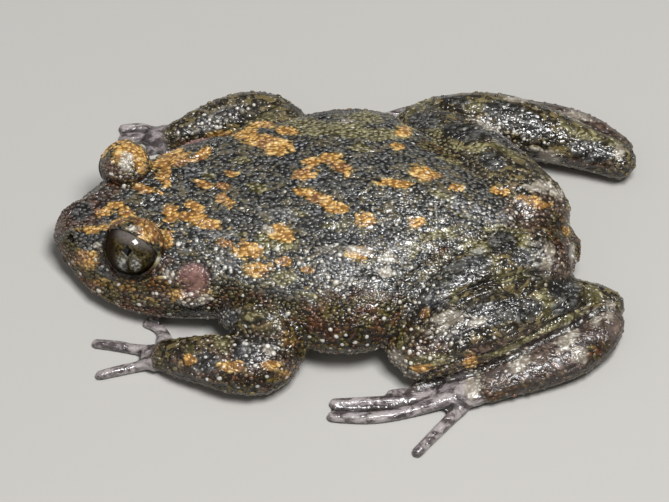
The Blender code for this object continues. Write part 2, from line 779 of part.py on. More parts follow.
def main():
    """Builds every part of the frog."""
    clear_scene()
    torso = trunk_part("torso", NECK + SEAM / 2, TRUNK[-1][0], TORSO_STATIONS)
    parts = [make_head(), finish_part(torso)]
    for name, sign in (("eye_left", -1), ("eye_right", 1)):
        parts.append(finish_part(eyeball(name, sign, EYE_RADIUS, LID_PLANES[sign])))
    arms = {
        "left": (UPPER_ARM_LEFT, FOREARM_LEFT, PALM_LEFT, FINGERS_LEFT),
        "right": (UPPER_ARM_RIGHT, FOREARM_RIGHT, PALM_RIGHT, FINGERS_RIGHT),
    }
    for which, (upper, fore, palm, fingers) in arms.items():
        parts.append(make_limb(f"upper_arm_{which}", upper, []))
        parts.append(make_limb(f"forearm_{which}", fore, [upper]))
        parts.append(make_digits(f"hand_{which}", palm, fingers, FINGER_RADII, False, [fore]))
    legs = {
        "left": (THIGH_LEFT, SHANK_LEFT, TARSUS_LEFT, SOLE_LEFT, TOES_LEFT),
        "right": (THIGH_RIGHT, SHANK_RIGHT, TARSUS_RIGHT, SOLE_RIGHT, TOES_RIGHT),
    }
    for which, (thigh, shank, tarsus, sole, toes) in legs.items():
        other_thigh = [THIGH_LEFT] if which == "right" else []
        near = [tarsus, shank, thigh]
        parts.append(make_limb(f"thigh_{which}", thigh, other_thigh, sides=THIGH_SIDES))
        parts.append(make_limb(f"shank_{which}", shank, [thigh]))
        parts.append(make_limb(f"tarsus_{which}", tarsus, [shank, thigh]))
        parts.append(make_digits(f"foot_{which}", sole, toes[:-1], TOE_RADII, True, near))
        parts.append(make_outer_toe(f"outer_toe_{which}", toes[-1], [*near, sole], toes[-2]))
    centre_on_ground(parts)


main()
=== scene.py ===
"""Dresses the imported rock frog: one wet skin over all its flesh, granules on it, two eyes and a plain stage.

Lengths are in millimetres unless a name says otherwise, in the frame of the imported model: the frog faces
-X, its left side is towards -Y, and it rests on z = 0. MM turns them into Blender's metres. Marks and folds
are named by their places in the photograph, in its pixels, and are laid on the body by the camera's rays.
"""

import json
import math

import bmesh
import bpy
import numpy as np
from bpy.props import FloatProperty, FloatVectorProperty, IntProperty, PointerProperty
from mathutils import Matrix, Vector
from mathutils.bvhtree import BVHTree
from mathutils.kdtree import KDTree

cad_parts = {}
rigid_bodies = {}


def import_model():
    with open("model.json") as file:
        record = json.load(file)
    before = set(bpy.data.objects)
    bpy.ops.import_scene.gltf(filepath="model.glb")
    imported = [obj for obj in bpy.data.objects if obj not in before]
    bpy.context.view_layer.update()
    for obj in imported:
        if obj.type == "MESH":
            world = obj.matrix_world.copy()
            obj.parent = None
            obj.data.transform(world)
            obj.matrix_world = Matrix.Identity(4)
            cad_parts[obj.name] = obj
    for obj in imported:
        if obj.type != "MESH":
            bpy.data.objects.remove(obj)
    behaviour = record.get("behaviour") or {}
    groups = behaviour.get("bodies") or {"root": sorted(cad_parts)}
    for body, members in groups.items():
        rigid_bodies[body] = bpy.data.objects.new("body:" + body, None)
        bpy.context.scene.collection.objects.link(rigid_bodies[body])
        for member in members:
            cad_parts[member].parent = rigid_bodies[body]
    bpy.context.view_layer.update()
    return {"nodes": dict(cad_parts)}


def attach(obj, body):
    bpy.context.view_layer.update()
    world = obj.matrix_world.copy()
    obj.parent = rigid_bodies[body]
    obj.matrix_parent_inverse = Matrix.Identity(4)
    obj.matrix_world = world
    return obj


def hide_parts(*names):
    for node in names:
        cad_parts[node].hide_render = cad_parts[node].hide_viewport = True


bl_info = {
    "name": "Rock Frog",
    "version": (1, 0, 0),
    "blender": (4, 5, 0),
    "location": "View3D > Sidebar > Frog",
    "description": "Builds the skin, granules, eyes and stage of a life-size rock frog",
    "category": "Object",
}

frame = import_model()

MM = 0.001
BODY = "root"
EYES = {"eye_left": -1, "eye_right": 1}
FLESH = sorted(name for name in frame["nodes"] if name not in EYES)
TRUNK = ("torso", "head")
LIMBS = ("thigh", "shank", "tarsus", "upper_arm", "forearm")
DIGITS = ("hand", "foot", "outer_toe")

# The camera, and the photograph's frame.
PHOTO_WIDTH, PHOTO_HEIGHT = 669, 502
PIXEL = 0.0846
CAMERA_RISE = math.radians(52)
CAMERA_AIM = Vector((-1.15, 2.008, 0.47))
CAMERA_DISTANCE = 350.0
CAMERA_BACK = Vector((0, -math.cos(CAMERA_RISE), math.sin(CAMERA_RISE)))
CAMERA_UP = Vector((0, math.sin(CAMERA_RISE), math.cos(CAMERA_RISE)))
CAMERA_RIGHT = Vector((1, 0, 0))
CAMERA_PLACE = CAMERA_AIM + CAMERA_BACK * CAMERA_DISTANCE
SENSOR = 36.0

# The head's middle plane, which folds and marks on the hidden side are mirrored in.
MIDDLE_Y = 1.958

# Eyes: centre of each ball, the direction that its opening faces and where the upper lid's edge lies on it.
EYE_RADII = {-1: 2.3, 1: 2.02}
EYE_CENTRES = {-1: Vector((-17.83, -2.392, 6.6)), 1: Vector((-18.73, 6.308, 6.6))}
EYE_FACING = {-1: Vector((-0.48, -0.83, -0.28)).normalized(), 1: Vector((-0.48, 0.83, -0.28)).normalized()}
EYE_GAZE = {-1: Vector((-0.147, -0.70, 0.70)).normalized(), 1: Vector((-0.147, 0.70, 0.70)).normalized()}
LID_EDGE = {-1: -0.42, 1: 0.9}
LID_RADIUS = {-1: 2.54, 1: 2.12}
LID_POINTS = 90

# How deep under an eyeball's surface the skin behind it lies, and the ball that carries the lids in it. Then
# how far ahead of its line the lid starts, how far back it reaches, and the height of its edge.
SKIN_UNDER_EYE = 0.10
CARRIER_UNDER_EYE = 0.04
LID_START = 0.04
LID_BACK = -0.75
LID_EDGE_HEIGHT = 0.07
LID_EDGE_WIDTH = 0.16

# The right eye stands freer: from this far on, the skin round it is left as the solid has it.
FREE_REACH = 3.7

# Mouth: height of its line at the snout and at its corners, and where the corners lie.
MOUTH_FRONT_Z = 1.45
MOUTH_CORNER_Z = 1.75
MOUTH_CORNER_X = -10.9
SNOUT_X = -24.6

# Folds of the left side of the head, as paths over the photograph, with a half-width and a height.
HEAD_FOLDS = [
    ([(56, 236), (68, 231), (82, 228), (96, 231), (107, 231)], 0.26, 0.16),
    ([(66, 243), (80, 243), (94, 244)], 0.40, -0.16),
    ([(176, 250), (190, 252), (204, 258), (214, 269), (219, 284), (217, 300)], 0.30, 0.26),
    ([(178, 262), (190, 259), (202, 264), (210, 274), (213, 288)], 0.14, -0.16),
    ([(127, 230), (134, 229), (141, 232)], 0.34, 0.14), ([(120, 282), (136, 281), (150, 276)], 0.18, -0.14),
    ([(141, 211), (155, 215), (166, 225), (172, 239), (171, 252)], 0.22, 0.16),
    ([(112, 213), (128, 209), (141, 211)], 0.25, 0.08),
    ([(108, 282), (125, 285), (142, 281), (158, 272)], 0.35, -0.10),
]

# Folds and creases of the trunk and limbs, in the same way.
BODY_FOLDS = [
    ([(222, 266), (224, 284)], 0.12, 0.10), ([(229, 267), (232, 286)], 0.12, 0.10),
    ([(236, 269), (240, 287)], 0.12, 0.10), ([(215, 328), (232, 330)], 0.16, -0.22),
    ([(279, 306), (292, 317), (303, 333), (305, 350), (301, 366)], 0.28, 0.08),
    ([(443, 106), (465, 118), (490, 131), (513, 148), (539, 166), (560, 186)], 0.26, -0.16),
    ([(421, 326), (432, 312), (447, 300), (465, 290), (491, 281), (517, 275), (547, 272)], 0.24, -0.42),
    ([(428, 333), (440, 320), (454, 309), (470, 299), (494, 290), (519, 284)], 0.34, 0.20),
    ([(432, 372), (460, 360), (490, 354), (523, 341), (556, 320), (588, 303)], 0.22, -0.28),
    ([(388, 324), (392, 300), (404, 282), (420, 268), (440, 256)], 0.22, -0.16),
    ([(240, 240), (262, 244), (284, 243)], 0.25, 0.08), ([(300, 262), (330, 258), (362, 250)], 0.35, 0.10),
    ([(330, 282), (356, 276), (384, 266)], 0.30, -0.10), ([(262, 286), (290, 292), (320, 294)], 0.30, 0.10),
]
EARDRUM_AT = (193.5, 280)
EARDRUM_RADIUS = 1.5
EARDRUM_DEPTH = 0.10
FAR_DRUM_DROP = Vector((0, 0.4, -1.4))
NOSTRIL_AT = (71, 238)

# The domed part of the upper eyelid, and the pale crescent at the eye's back corner.
LID_DOME_AT = (154.5, 230.5)
CRESCENT_AT = (158, 261)
CRESCENT_SIZE = (6, 9)

# Rounded ridges and grooves, each by its distance, half-width and height: about the lid's dome, about a
# nostril, about an eardrum, and over and under the mouth's line.
LID_RINGS = [(0.0, 0.60, 0.22), (0.95, 0.13, -0.18), (1.28, 0.18, 0.14), (1.64, 0.12, -0.12)]
NOSTRIL_RINGS = [(0.45, 0.18, 0.12), (0.0, 0.24, -0.60)]
EARDRUM_RINGS = [(EARDRUM_RADIUS, 0.20, 0.04)]
LIP_RINGS = [(0.36, 0.22, 0.12), (-0.34, 0.20, 0.06), (0.0, 0.12, -0.30)]

# Ochre patches: place in the photograph, half-length, half-width and turn in degrees, clockwise.
OCHRE_SPOTS = [
    (130, 150, 22, 14, 10), (143, 160, 9, 14, 0), (170, 158, 15, 7, -20), (167, 175, 7, 12, 10),
    (180, 160, 14, 6, -25), (202, 155, 11, 5, -30), (147, 191, 20, 4, 3), (118, 206, 10, 4, 10),
    (104, 212, 11, 5, -15), (127, 214, 10, 5, 5), (116, 224, 12, 5, -25), (91, 230, 17, 4, -3),
    (150, 229, 21, 13, 25), (166, 241, 8, 10, -15), (172, 214, 9, 11, 20), (190, 216, 14, 6, 0),
    (208, 224, 17, 5, 8), (84, 259, 13, 9, 10), (203, 184, 9, 5, 20), (219, 137, 17, 5, -10),
    (246, 134, 15, 8, 10), (274, 145, 21, 9, 15), (288, 130, 12, 4, 0), (263, 125, 12, 4, 0),
    (305, 174, 12, 6, -15), (313, 162, 10, 5, -10), (328, 160, 12, 6, 5), (341, 167, 12, 8, 30),
    (299, 192, 9, 4, 30), (313, 197, 12, 6, 25), (328, 204, 13, 8, 22), (342, 209, 8, 4, 15),
    (365, 219, 11, 8, 0), (397, 184, 18, 4, 3), (418, 222, 9, 6, 0), (425, 174, 15, 6, 12),
    (456, 188, 8, 4, 10), (226, 202, 12, 5, 25), (198, 208, 9, 4, 10), (281, 233, 14, 9, 18),
    (246, 250, 14, 9, 0), (258, 270, 12, 9, 10), (225, 243, 9, 4, 0), (565, 231, 5, 6, 0),
    (424, 313, 7, 6, -20), (233, 366, 12, 6, 0), (271, 366, 10, 6, 0), (126, 285, 12, 5, 10),
    (160, 283, 12, 6, -10), (178, 294, 10, 7, 0), (207, 294, 9, 6, -30), (289, 340, 9, 8, 40),
    (397, 146, 7, 4, 0), (404, 131, 8, 5, 0), (190, 360, 8, 6, 0), (279, 378, 15, 4, -15),
    (470, 361, 8, 9, 0), (360, 254, 13, 7, 0), (420, 368, 12, 5, 0), (541, 205, 10, 5, 0),
    (232, 174, 7, 4, 0), (222, 186, 10, 4, 10), (190, 205, 9, 4, 0), (101, 284, 12, 6, 20),
    (146, 300, 16, 4, 5), (530, 200, 12, 5, 10), (500, 192, 12, 4, 10), (285, 262, 8, 5, 0),
    (306, 270, 7, 4, 0),
]

# Olive and yellowish bars and bands, mostly on the limbs.
OLIVE_SPOTS = [
    (364, 118, 18, 6, 0), (345, 128, 15, 6, 5), (300, 124, 18, 6, 5), (437, 129, 10, 7, -30),
    (258, 188, 9, 5, 5), (360, 148, 9, 5, 0), (380, 135, 16, 6, 0), (320, 132, 14, 5, 0),
    (286, 278, 12, 8, 0), (275, 240, 20, 10, 10), (235, 232, 14, 4, 5), (300, 300, 22, 7, 5),
    (242, 290, 20, 7, 0), (335, 130, 40, 8, 3), (208, 176, 7, 3, 0), (253, 186, 8, 3, 10),
    (404, 131, 11, 8, 0), (418, 108, 14, 5, -35), (473, 108, 12, 8, 0), (480, 148, 10, 6, 15),
    (566, 128, 10, 6, 20), (580, 133, 20, 6, 15), (617, 146, 12, 5, 30), (505, 150, 14, 5, 30),
    (446, 146, 16, 6, 10), (540, 92, 18, 4, 10), (487, 261, 24, 7, 42), (440, 279, 12, 6, -40),
    (474, 247, 16, 6, 0), (505, 277, 10, 6, 0), (546, 302, 6, 24, -8), (592, 294, 9, 12, 0),
    (512, 346, 32, 4, -25), (562, 322, 28, 4, -25), (520, 274, 22, 4, -8), (453, 296, 7, 8, 0),
    (430, 360, 20, 6, -10), (410, 250, 10, 9, 0), (223, 341, 8, 12, 0), (281, 336, 6, 12, -20),
    (190, 352, 6, 8, 10), (270, 330, 10, 6, 0), (262, 118, 14, 5, -10), (250, 316, 16, 6, -10),
    (398, 335, 8, 14, 10), (500, 230, 18, 4, 5), (524, 240, 6, 14, -20), (440, 234, 20, 5, -10),
    (470, 216, 16, 3, 10), (440, 196, 14, 3, 20), (240, 160, 12, 3, 0), (450, 160, 12, 3, 15),
    (300, 214, 12, 3, 5), (335, 226, 14, 3, 0), (536, 262, 5, 12, 0),
]

# Whitish blotches on the lips, the rump, the joints and the outer edges of the legs.
# Those on the forearm and the shank are painted sheen.
PALE_SPOTS = [
    (127, 162, 8, 11, 10), (62, 252, 5, 6, 40), (79, 274, 4, 4, 40), (99, 290, 8, 5, 20),
    (141, 303, 10, 5, 0), (204, 299, 9, 5, -25), (182, 302, 5, 3, 0), (118, 303, 4, 3, 0),
    (134, 229, 7, 4, 0), (549, 249, 7, 10, 10), (546, 264, 6, 11, 5), (573, 224, 4, 9, 0),
    (572, 252, 4, 9, 0), (544, 186, 9, 6, 20), (558, 194, 8, 5, 20), (531, 188, 8, 4, 0),
    (567, 336, 10, 14, 15), (521, 361, 11, 12, 20), (580, 354, 9, 9, -30), (610, 311, 5, 11, 0),
    (474, 384, 9, 16, 10), (549, 158, 19, 8, 30), (483, 123, 20, 4, 30), (468, 90, 9, 4, 0),
    (521, 98, 12, 5, -10), (577, 116, 14, 5, 15), (597, 173, 22, 4, -10), (619, 153, 6, 9, 0),
    (532, 92, 5, 2, 0), (398, 360, 7, 13, -30), (410, 376, 13, 5, 10), (268, 229, 7, 4, 20),
    (353, 250, 7, 4, 0), (270, 351, 6, 6, 0), (347, 122, 8, 3, 5), (388, 258, 9, 6, 0), (366, 252, 9, 5, 0),
    (386, 272, 9, 5, 0), (440, 318, 13, 5, -25), (62, 262, 4, 5, 30), (170, 276, 7, 7, 0),
    (388, 332, 4, 8, 30), (96, 245, 6, 3, 0), (450, 324, 20, 9, -25), (478, 322, 12, 6, -15),
    (596, 318, 6, 10, 0),
]

# Painted sheen: silvery grey areas, where the wet skin is finely wrinkled.
SHEEN_SPOTS = [
    (315, 181, 9, 6, -10), (338, 268, 26, 17, 15), (462, 322, 34, 13, -24), (192, 172, 10, 5, 0),
    (215, 232, 20, 7, 20), (478, 212, 30, 8, 15), (316, 213, 12, 4, 0), (284, 215, 14, 5, 5),
    (452, 330, 14, 14, 0), (436, 302, 16, 10, -30), (500, 135, 30, 8, 25), (210, 122, 40, 9, -25),
    (256, 348, 24, 14, 10), (480, 260, 12, 10, 0), (228, 262, 12, 12, 0), (400, 250, 12, 14, 0),
    (300, 146, 10, 4, 0), (230, 316, 14, 8, 0), (540, 260, 14, 20, 0),
]

# Reddish and purplish brown areas.
# The wide one low on the flank is partly painted shade.
BROWN_SPOTS = [
    (112, 172, 16, 16, 30), (540, 215, 34, 30, 10), (560, 255, 22, 28, 0), (520, 352, 75, 20, -20),
    (590, 330, 22, 25, 0), (590, 165, 26, 12, 5), (215, 302, 14, 12, 0), (345, 318, 70, 22, 0),
    (296, 360, 14, 22, 0), (205, 328, 25, 8, -10), (118, 184, 26, 8, 0), (400, 320, 10, 18, 20),
    (480, 352, 20, 10, -20), (225, 366, 62, 24, 0), (262, 362, 44, 28, 0), (98, 270, 40, 26, 25),
    (430, 345, 26, 20, -30), (84, 214, 34, 16, -25), (60, 222, 12, 16, 0), (150, 290, 60, 18, 5),
    (100, 270, 40, 14, 25), (353, 294, 11, 5, -30), (160, 262, 14, 10, 0), (260, 384, 50, 12, 0),
    (135, 278, 24, 6, 0), (70, 250, 16, 10, 30), (262, 300, 50, 8, 5),
]

# Dark slate areas: under the eye's front, along the lips, and the rounded patches of the limbs.
# Those along the lips and under the eye's front are partly painted shade.
DARK_SPOTS = [
    (84, 241, 26, 9, 0), (112, 262, 10, 14, 30), (66, 246, 8, 8, 0), (104, 276, 18, 7, 25),
    (157, 181, 14, 6, 30), (163, 204, 20, 7, 0), (170, 309, 34, 5, 2), (112, 303, 28, 5, 18),
    (461, 273, 30, 13, -22), (424, 301, 26, 14, -40), (502, 241, 14, 10, 0), (500, 312, 28, 11, -18),
    (564, 289, 16, 9, 0), (520, 257, 10, 9, 0), (566, 306, 14, 8, -20), (524, 310, 18, 12, -10),
    (425, 121, 16, 8, 10), (462, 132, 20, 9, 15), (492, 161, 14, 8, 25), (518, 120, 34, 13, 22),
    (590, 152, 20, 10, 15), (455, 100, 14, 5, 10), (204, 362, 14, 10, 0), (246, 352, 14, 14, 0),
    (316, 176, 18, 6, 0), (350, 240, 30, 6, 5), (240, 225, 22, 8, 0), (330, 186, 14, 4, 0),
    (82, 212, 12, 8, -30), (190, 170, 14, 6, 0), (290, 160, 14, 6, 0), (232, 216, 20, 6, 0),
    (235, 290, 26, 7, 12), (290, 300, 30, 7, 12), (208, 276, 6, 12, -20), (395, 300, 8, 26, 25),
    (222, 316, 20, 6, 5), (130, 278, 26, 5, 0),
]

# Painted shade, deep brown, low on the flanks, on the cheeks, behind the eardrum and under the arms.
SHADE_SPOTS = [
    (345, 328, 84, 38, 0), (238, 296, 42, 12, 12), (290, 306, 34, 8, 10), (130, 302, 64, 11, 12),
    (95, 284, 40, 12, 35), (150, 285, 46, 10, 0), (66, 252, 14, 16, 40), (252, 385, 60, 14, -3),
    (304, 346, 10, 28, 0), (210, 322, 24, 7, 0), (396, 312, 8, 30, 15), (425, 382, 34, 9, -10),
    (530, 394, 70, 8, -14), (556, 232, 16, 22, 0), (600, 352, 20, 12, -20), (600, 172, 30, 5, -5),
    (438, 150, 24, 5, 25), (440, 252, 16, 4, -35),
]

# Where granules stand close together.
GRANULE_SPOTS = [
    (330, 290, 84, 44, 10), (255, 272, 54, 34, 15), (215, 300, 22, 34, 0), (150, 288, 74, 24, 8),
    (85, 272, 34, 26, 40), (400, 268, 42, 44, -30), (545, 220, 42, 58, 0), (415, 345, 34, 38, -40),
    (345, 330, 64, 26, 0), (465, 212, 60, 20, 12), (195, 240, 28, 14, 20), (250, 360, 58, 34, 0),
    (205, 120, 42, 14, -25), (124, 174, 22, 16, 0), (500, 130, 34, 12, 28),
]

# Pearls: the largest white granules, each by its place in the photograph and its radius in its pixels.
# Their white tops are partly the skin's own pale pearls and partly painted glints.
PEARLS = [
    (124, 186, 2.6), (120, 176, 1.6), (126, 163, 1.9), (113, 174, 1.5), (178, 245, 3.0), (196, 240, 2.2),
    (181, 229, 1.6), (190, 250, 2.0), (199, 262, 2.2), (207, 255, 1.6), (173, 274, 2.3), (165, 277, 1.9),
    (170, 281, 2.4), (190, 295, 2.8), (180, 303, 2.2), (215, 249, 2.4), (221, 251, 2.0), (217, 259, 2.4),
    (235, 255, 2.0), (229, 221, 1.7), (211, 299, 2.4), (209, 308, 2.0), (231, 270, 1.8), (222, 272, 1.9),
    (261, 247, 2.2), (277, 249, 3.0), (267, 252, 1.9), (258, 259, 2.2), (253, 268, 1.8), (270, 269, 2.1),
    (247, 276, 1.9), (278, 265, 1.8), (273, 284, 1.7), (255, 280, 1.8), (243, 295, 1.8), (246, 344, 2.5),
    (254, 346, 1.7), (268, 347, 2.9), (274, 353, 2.9), (246, 355, 1.9), (265, 358, 1.8), (254, 366, 2.2),
    (252, 360, 1.8), (236, 358, 1.8), (227, 354, 1.8), (217, 358, 1.8), (222, 367, 1.8), (208, 379, 2.2),
    (219, 379, 2.6), (258, 386, 2.2), (266, 376, 2.2), (237, 389, 1.9), (288, 313, 2.6), (307, 252, 2.2),
    (298, 263, 2.4), (302, 280, 1.9), (307, 289, 2.4), (314, 278, 1.7), (313, 284, 1.8), (315, 298, 1.9),
    (336, 244, 2.0), (353, 249, 2.5), (340, 256, 2.3), (327, 278, 2.3), (337, 282, 2.7), (342, 274, 2.0),
    (349, 284, 2.1), (349, 275, 1.8), (329, 286, 1.7), (320, 291, 1.9), (336, 290, 1.8), (349, 310, 1.9),
    (330, 329, 2.3), (356, 342, 2.6), (337, 337, 2.4), (321, 340, 2.7), (347, 335, 2.0), (330, 347, 2.0),
    (310, 336, 2.1), (343, 345, 2.1), (366, 337, 2.3), (368, 345, 1.9), (349, 350, 1.8), (380, 261, 2.5),
    (386, 260, 2.5), (368, 267, 2.4), (383, 272, 2.2), (394, 273, 2.4), (374, 279, 2.4), (386, 283, 1.8),
    (399, 302, 2.4), (388, 309, 2.0), (384, 319, 2.4), (411, 352, 2.6), (419, 353, 2.3), (429, 357, 2.3),
    (411, 363, 2.5), (405, 361, 2.3), (403, 348, 1.9), (417, 346, 2.0), (422, 341, 1.7), (434, 345, 1.9),
    (432, 337, 1.8), (438, 331, 2.0), (411, 329, 1.9), (418, 329, 1.9), (404, 326, 1.8), (424, 287, 2.1),
    (433, 285, 1.7), (438, 293, 1.8), (416, 303, 1.8), (405, 306, 1.7), (417, 250, 1.9), (406, 263, 1.7),
    (443, 321, 2.2), (461, 343, 2.5), (451, 343, 1.9), (453, 360, 2.0), (379, 214, 1.9), (426, 172, 2.1),
    (436, 197, 2.4), (178, 133, 2.3), (190, 126, 1.8), (202, 124, 2.0), (210, 120, 1.9), (218, 122, 2.1),
    (221, 127, 2.1), (236, 109, 2.1), (248, 109, 2.1), (253, 105, 2.1), (168, 134, 1.8), (230, 115, 1.8),
    (515, 200, 2.5), (517, 213, 2.3), (511, 219, 2.4), (489, 208, 1.9), (484, 213, 1.8), (508, 210, 1.8),
    (501, 189, 2.0), (524, 204, 2.0), (465, 187, 1.8), (451, 202, 1.8), (470, 203, 1.8), (463, 207, 1.8),
    (473, 217, 1.8), (469, 224, 1.8), (488, 123, 1.9), (501, 128, 2.1), (514, 132, 2.1), (523, 139, 2.3),
    (544, 143, 1.9), (572, 151, 1.9), (495, 337, 1.9), (506, 372, 1.9), (99, 290, 2.6), (119, 285, 1.9),
    (108, 270, 1.9), (124, 264, 2.0), (134, 265, 2.1), (147, 293, 1.9), (157, 293, 2.1), (139, 304, 2.4),
    (96, 259, 2.4), (70, 264, 2.0), (80, 273, 2.0), (345, 297, 1.7), (294, 279, 1.7), (288, 275, 1.6),
]

# Markings that the skin's vertices carry, and that a granule takes from the vertex it stands on.
SKIN_MARKS = (
    "ochre", "olive", "pale", "silver", "brown", "dark", "digit", "limb", "drum", "belly", "low"
)

# Markings that say where granules stand.
GRANULE_MARKS = ("granular", "limb", "digit", "belly", "drum", "low")

# Seeds of the noises that shape the skin, and of those that lay each marking out of the camera's sight.
SEEDS = {
    "drift": 11, "ridges": 3, "crossing": 21, "warts": 31, "lumps": 41, "eardrums": 77, "edge": 79,
    "ochre": 61, "olive": 62, "pale": 63, "brown": 64, "dark": 65, "granular": 66, "silver": 67, "shade": 68,
}

# Granules stretched by more than this are lens-shaped scales, which are evener in tone.
LENS_STRETCH = 1.4

# How far in depth, towards or away from the camera, a spot of the photograph reaches into the body.
SPOT_DEPTH = 3.0

# Markings of the skin in the order in which they are laid, each with the softness of its edge, how far it
# grows, how ragged it is, how well it covers, and its colour in creases. A setting has its raised colour.
# The colours in creases are partly painted shade, and the raised colours partly painted highlight.
SKIN_LAYERS = [
    ("brown", 0.22, 0.0, 1.0, 0.85, (0.018, 0.007, 0.003), "brown"),
    ("olive", 0.14, 0.03, 0.7, 0.85, (0.045, 0.037, 0.010), "olive"),
    ("dark", 0.07, 0.03, 0.45, 0.88, (0.005, 0.0052, 0.005), "dark"),
    ("silver", 0.20, 0.0, 1.0, 0.68, (0.012, 0.012, 0.014), "silver"),
    ("ochre", 0.06, 0.08, 1.25, 0.75, (0.07, 0.045, 0.010), "fringe"),
]

# The pale spots, in the same form. They are laid last, over the fingers and toes too.
PALE_LAYER = ("pale", 0.14, 0.0, 1.0, 0.9, (0.20, 0.165, 0.125), "pale")

# Level of the glints on the skin's deep, shaded areas.
DEEP_SHINE = 0.15


def number(name, description, default):
    """A setting that is a number."""
    return FloatProperty(name=name, description=description, default=default)


def colour_of(name, description, default):
    """A setting that is a colour."""
    return FloatVectorProperty(name=name, description=description, subtype="COLOR", default=default)


class FrogSkinSettings(bpy.types.PropertyGroup):
    """Sizes and colours of the skin."""

    voxel: number("Voxel", "Grid that melts the parts together", 0.16)
    seam_fill: number("Seam fill", "Growth that closes the seams", 0.19)
    triangles: IntProperty(name="Triangles", description="Most triangles of the skin", default=190000)
    wrinkle: number("Wrinkle", "Height of the wrinkles of the back", 0.10)
    wart: number("Wart", "Height of the larger warts", 0.13)
    bump: number("Bump", "Height of the finest scales", 0.070)
    scales: number("Scales", "Lens-shaped scales to a millimetre", 2.4)
    beads: number("Beads", "Round scales to a millimetre", 3.6)
    shine: number("Shine", "Level of the wet skin's glints", 0.72)
    film: number("Film", "Weight of the clear coat that makes the skin wet", 0.12)
    slate: colour_of("Slate", "The back's dark grey", (0.006, 0.0065, 0.0062))
    # Painted highlight: the light slate is the grey of raised scales, mixed with their own random tone.
    slate_light: colour_of("Light slate", "Worn edges of the grey", (0.148, 0.149, 0.140))
    ochre: colour_of("Ochre", "The back's patches", (0.60, 0.350, 0.098))
    olive: colour_of("Olive", "The bars of the limbs", (0.38, 0.345, 0.180))
    pale: colour_of("Pale", "Lip spots and blotches", (0.60, 0.58, 0.51))
    brown: colour_of("Brown", "Tarsus, rump and folds", (0.190, 0.116, 0.088))
    dark: colour_of("Dark", "Slate patches of the limbs", (0.145, 0.148, 0.145))
    # Silver is painted sheen of the wet, finely wrinkled skin.
    silver: colour_of("Silver", "Where the skin is finely wrinkled", (0.37, 0.37, 0.375))
    fringe: colour_of("Fringe", "Edges of the ochre patches", (0.26, 0.20, 0.055))
    digit: colour_of("Digits", "Fingers and toes", (0.36, 0.32, 0.32))
    drum: colour_of("Eardrum", "The eardrum's disc", (0.29, 0.165, 0.140))
    belly: colour_of("Belly", "The underside", (0.42, 0.38, 0.32))


class FrogGranuleSettings(bpy.types.PropertyGroup):
    """Sizes of the granules."""

    small: number("Small", "Radius of the smallest granule", 0.11)
    large: number("Large", "Radius of the largest granule", 0.25)
    pearl: number("Pearl", "Growth of the largest granules", 1.12)
    height: number("Height", "Height of a granule for its radius", 0.72)
    seed: IntProperty(name="Seed", description="Seed of the scatter", default=7)


class FrogEyeSettings(bpy.types.PropertyGroup):
    """Sizes and colours of the eyes."""

    lid: number("Lid", "Radius of the rims of the eyelids", 0.13)
    pupil_width: number("Pupil width", "Half-width of the pupil", 0.40)
    pupil_height: number("Pupil height", "Half-height of the pupil", 0.45)
    bulge: number("Bulge", "How far the eye's front bulges, for its radius", 0.028)
    iris: colour_of("Iris", "Bronze of the iris", (0.052, 0.039, 0.013))
    silver: colour_of("Silver", "Flecks below the pupil", (0.36, 0.36, 0.34))


class FrogStageSettings(bpy.types.PropertyGroup):
    """Floor and lights."""

    floor: colour_of("Floor", "Colour of the floor", (0.40, 0.39, 0.37))
    key: number("Key", "Power of the small bright light, in watts", 2.7)
    soft: number("Soft", "Power of the broad soft light, in watts", 0.35)
    front: number("Front", "Power of the light from the front, in watts", 0.08)
    world: number("World", "Strength of the even light all round", 0.13)


def arrays_of(mesh):
    """Places and normals of a mesh's vertices, in millimetres, as arrays."""
    count = len(mesh.vertices)
    places, normals = np.zeros(count * 3), np.zeros(count * 3)
    mesh.vertices.foreach_get("co", places)
    mesh.vertices.foreach_get("normal", normals)
    return places.reshape(-1, 3) / MM, normals.reshape(-1, 3)


def hashed(cells, seed):
    """A number from 0 to 1 for each cell of a lattice, the same on each run."""
    mixed = cells[..., 0] * 73856093 ^ cells[..., 1] * 19349663 ^ cells[..., 2] * 83492791 ^ seed * 668265263
    mixed = (mixed ^ (mixed >> 13)) * 1274126177 & 0x7FFFFFFF
    mixed = (mixed ^ (mixed >> 15)) * 461845907 & 0x7FFFFFFF
    return ((mixed ^ (mixed >> 11)) & 0xFFFFF) / 0xFFFFF


def lattice_noise(places, seed):
    """Smooth noise from 0 to 1 with a lattice of one unit."""
    base = np.floor(places).astype(np.int64)
    f = places - base
    f = f * f * (3 - 2 * f)
    total = np.zeros(len(places))
    for corner in np.ndindex(2, 2, 2):
        share = np.prod(np.where(np.array(corner), f, 1 - f), axis=1)
        total += share * hashed(base + np.array(corner), seed)
    return total


def layered_noise(places, seed, layers=3):
    """Noise from 0 to 1 with finer layers added."""
    total, weight = 0.0, 0.0
    for k in range(layers):
        total = total + lattice_noise(places * 2.03**k, seed + k) * 0.55**k
        weight += 0.55**k
    return total / weight


def cell_distance(places, seed):
    """Distance to the nearest of one random point per cell, and that cell's own number."""
    base = np.floor(places).astype(np.int64)
    best = np.full(len(places), 9.0)
    own = np.zeros(len(places))
    for step in np.ndindex(3, 3, 3):
        cell = base + np.array(step) - 1
        point = cell + np.stack([hashed(cell, seed + k) for k in range(3)], axis=1)
        distance = distances(places, point)
        nearer = distance < best
        best = np.where(nearer, distance, best)
        own = np.where(nearer, hashed(cell, seed + 5), own)
    return best, own


def smooth_step(low, high, values):
    """0 below low, 1 above high and smooth between."""
    t = np.clip((values - low) / (high - low), 0, 1)
    return t * t * (3 - 2 * t)


def bell(values, width):
    """1 where values are 0, and falling smoothly over a half-width on both sides."""
    return np.exp(-((values / width) ** 2))


